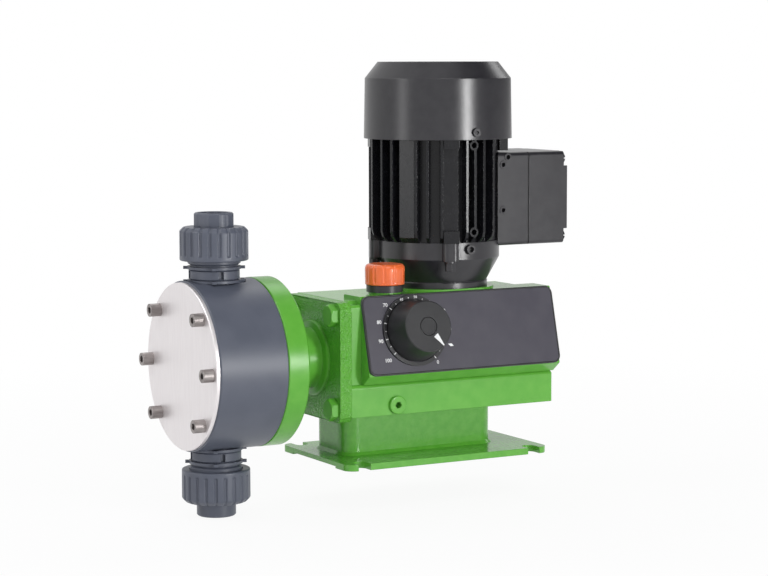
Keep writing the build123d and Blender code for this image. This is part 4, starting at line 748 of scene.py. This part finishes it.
# %% Make the sky
sky_fill, bright_side, dark_side = 0.38, 1.05, 0.12
dark_way, fall_from, fall_to = (0.875, -0.484, 0.0), 0.05, 0.65
world = bpy.data.worlds.new("studio")
bpy.context.scene.world = world
world.use_nodes = True
tree = world.node_tree
tree.nodes.clear()
ambient = add_node(tree, "ShaderNodeBackground", Color=(0.95, 0.97, 1.0, 1.0), Strength=sky_fill)
white = add_node(tree, "ShaderNodeBackground", Color=(1.0, 1.0, 1.0, 1.0), Strength=1.0)
glossy = add_node(tree, "ShaderNodeBackground")
place = add_node(tree, "ShaderNodeTexCoord")
side = add_node(tree, "ShaderNodeVectorMath", "DOT_PRODUCT")
side.inputs[1].default_value = dark_way
tree.links.new(place.outputs["Generated"], side.inputs[0])
fall = add_node(tree, "ShaderNodeMapRange", From_Min=fall_from, From_Max=fall_to, To_Min=bright_side,
                To_Max=dark_side)
fall.interpolation_type = "SMOOTHSTEP"
tree.links.new(side.outputs["Value"], fall.inputs["Value"])
tree.links.new(fall.outputs["Result"], glossy.inputs["Strength"])
print("sky: fill", sky_fill, "bright side", bright_side, "dark side", dark_side)

# %% Give each kind of ray its own sky
path = add_node(tree, "ShaderNodeLightPath")
mirror = add_node(tree, "ShaderNodeMixShader")
tree.links.new(path.outputs["Is Glossy Ray"], mirror.inputs["Fac"])
tree.links.new(ambient.outputs[0], mirror.inputs[1])
tree.links.new(glossy.outputs[0], mirror.inputs[2])
blend = add_node(tree, "ShaderNodeMixShader")
tree.links.new(path.outputs["Is Camera Ray"], blend.inputs["Fac"])
tree.links.new(mirror.outputs[0], blend.inputs[1])
tree.links.new(white.outputs[0], blend.inputs[2])
out = add_node(tree, "ShaderNodeOutputWorld")
tree.links.new(blend.outputs[0], out.inputs["Surface"])
print("sky nodes:", len(tree.nodes))

# %% [markdown]
# ## Camera
#
# The camera stands where the photographer's did. Its place, its three angles and its lens were worked out
# from straight edges and outlines in the picture. Three plain angles are easier to read and to change than
# a matrix, so a small function turns them into the camera's own directions.

# %% A helper for the camera's directions


def camera_axes(yaw, pitch, roll):
    """Right, up and forward of a camera that looks yaw from +Y to +X, pitch below the horizon, then rolls."""
    forward = np.array([math.sin(yaw) * math.cos(pitch), math.cos(yaw) * math.cos(pitch), -math.sin(pitch)])
    level = np.array([math.cos(yaw), -math.sin(yaw), 0.0])
    upright = np.cross(level, forward)
    right = level * math.cos(roll) + upright * math.sin(roll)
    up = upright * math.cos(roll) - level * math.sin(roll)
    return right, up, forward


print("camera helper ready")

# %% Place the camera
camera_place = (-0.95566, -1.67438, 0.33186)
yaw_deg, pitch_deg, roll_deg = 28.9636, 5.7548, -0.1366
camera_data = bpy.data.cameras.new("camera")
camera_data.sensor_width = 36.0
camera_data.lens = 109.12
camera_data.clip_end = 50.0
camera = bpy.data.objects.new("camera", camera_data)
bpy.context.collection.objects.link(camera)
bpy.context.scene.camera = camera
right, up, forward = camera_axes(math.radians(yaw_deg), math.radians(pitch_deg), math.radians(roll_deg))
turn = Matrix((right, up, -forward)).transposed()
camera.matrix_world = Matrix.Translation(camera_place) @ turn.to_4x4()
print("camera looks along", np.round(forward, 3))

# %% [markdown]
# ## Lights
#
# Soft boxes light the pump, as in a studio. The strongest stands low at the front right and is narrow, so
# that the motor's cowl mirrors it as an upright streak. A weaker one at the left gives the streak there.
# The others fill in from above, so that the tops of the pieces stand out from their sides. They are kept
# weak enough for the pale front plate to hold its tone.

# %% Place the lights
pump_middle, motor_middle = (0.0, 0.0, 0.12), (0.02, 0.0, 0.25)
lamps = (
    ("key_front_right", (0.54, -1.85, 0.22), pump_middle, 0.26, 0.45, 16.0),
    ("upper_right", (1.62, 0.46, 1.10), motor_middle, 0.8, 0.5, 3.0),
    ("side_left", (-1.85, -0.14, 0.24), pump_middle, 0.42, 0.5, 2.2),
    ("high_left", (-1.45, 0.35, 1.35), pump_middle, 0.9, 0.7, 7.0),
    ("high_front", (-0.3, -1.3, 1.6), pump_middle, 1.0, 0.8, 9.0),
    ("top_back", (0.2, 0.9, 1.6), pump_middle, 1.2, 0.8, 6.0),
)


def area_light(name, place, target, wide, high, power):
    """Soft box of a given width and height at a place, aimed at a target."""
    data = bpy.data.lights.new(name, "AREA")
    data.shape = "RECTANGLE"
    data.size = wide
    data.size_y = high
    data.energy = power
    lamp = bpy.data.objects.new(name, data)
    bpy.context.collection.objects.link(lamp)
    lamp.location = place
    aim = Vector(target) - Vector(place)
    lamp.rotation_euler = aim.to_track_quat("-Z", "Y").to_euler()


for lamp in lamps:
    area_light(*lamp)
bpy.context.scene.view_settings.view_transform = "Standard"
print("lights:", len(lamps))
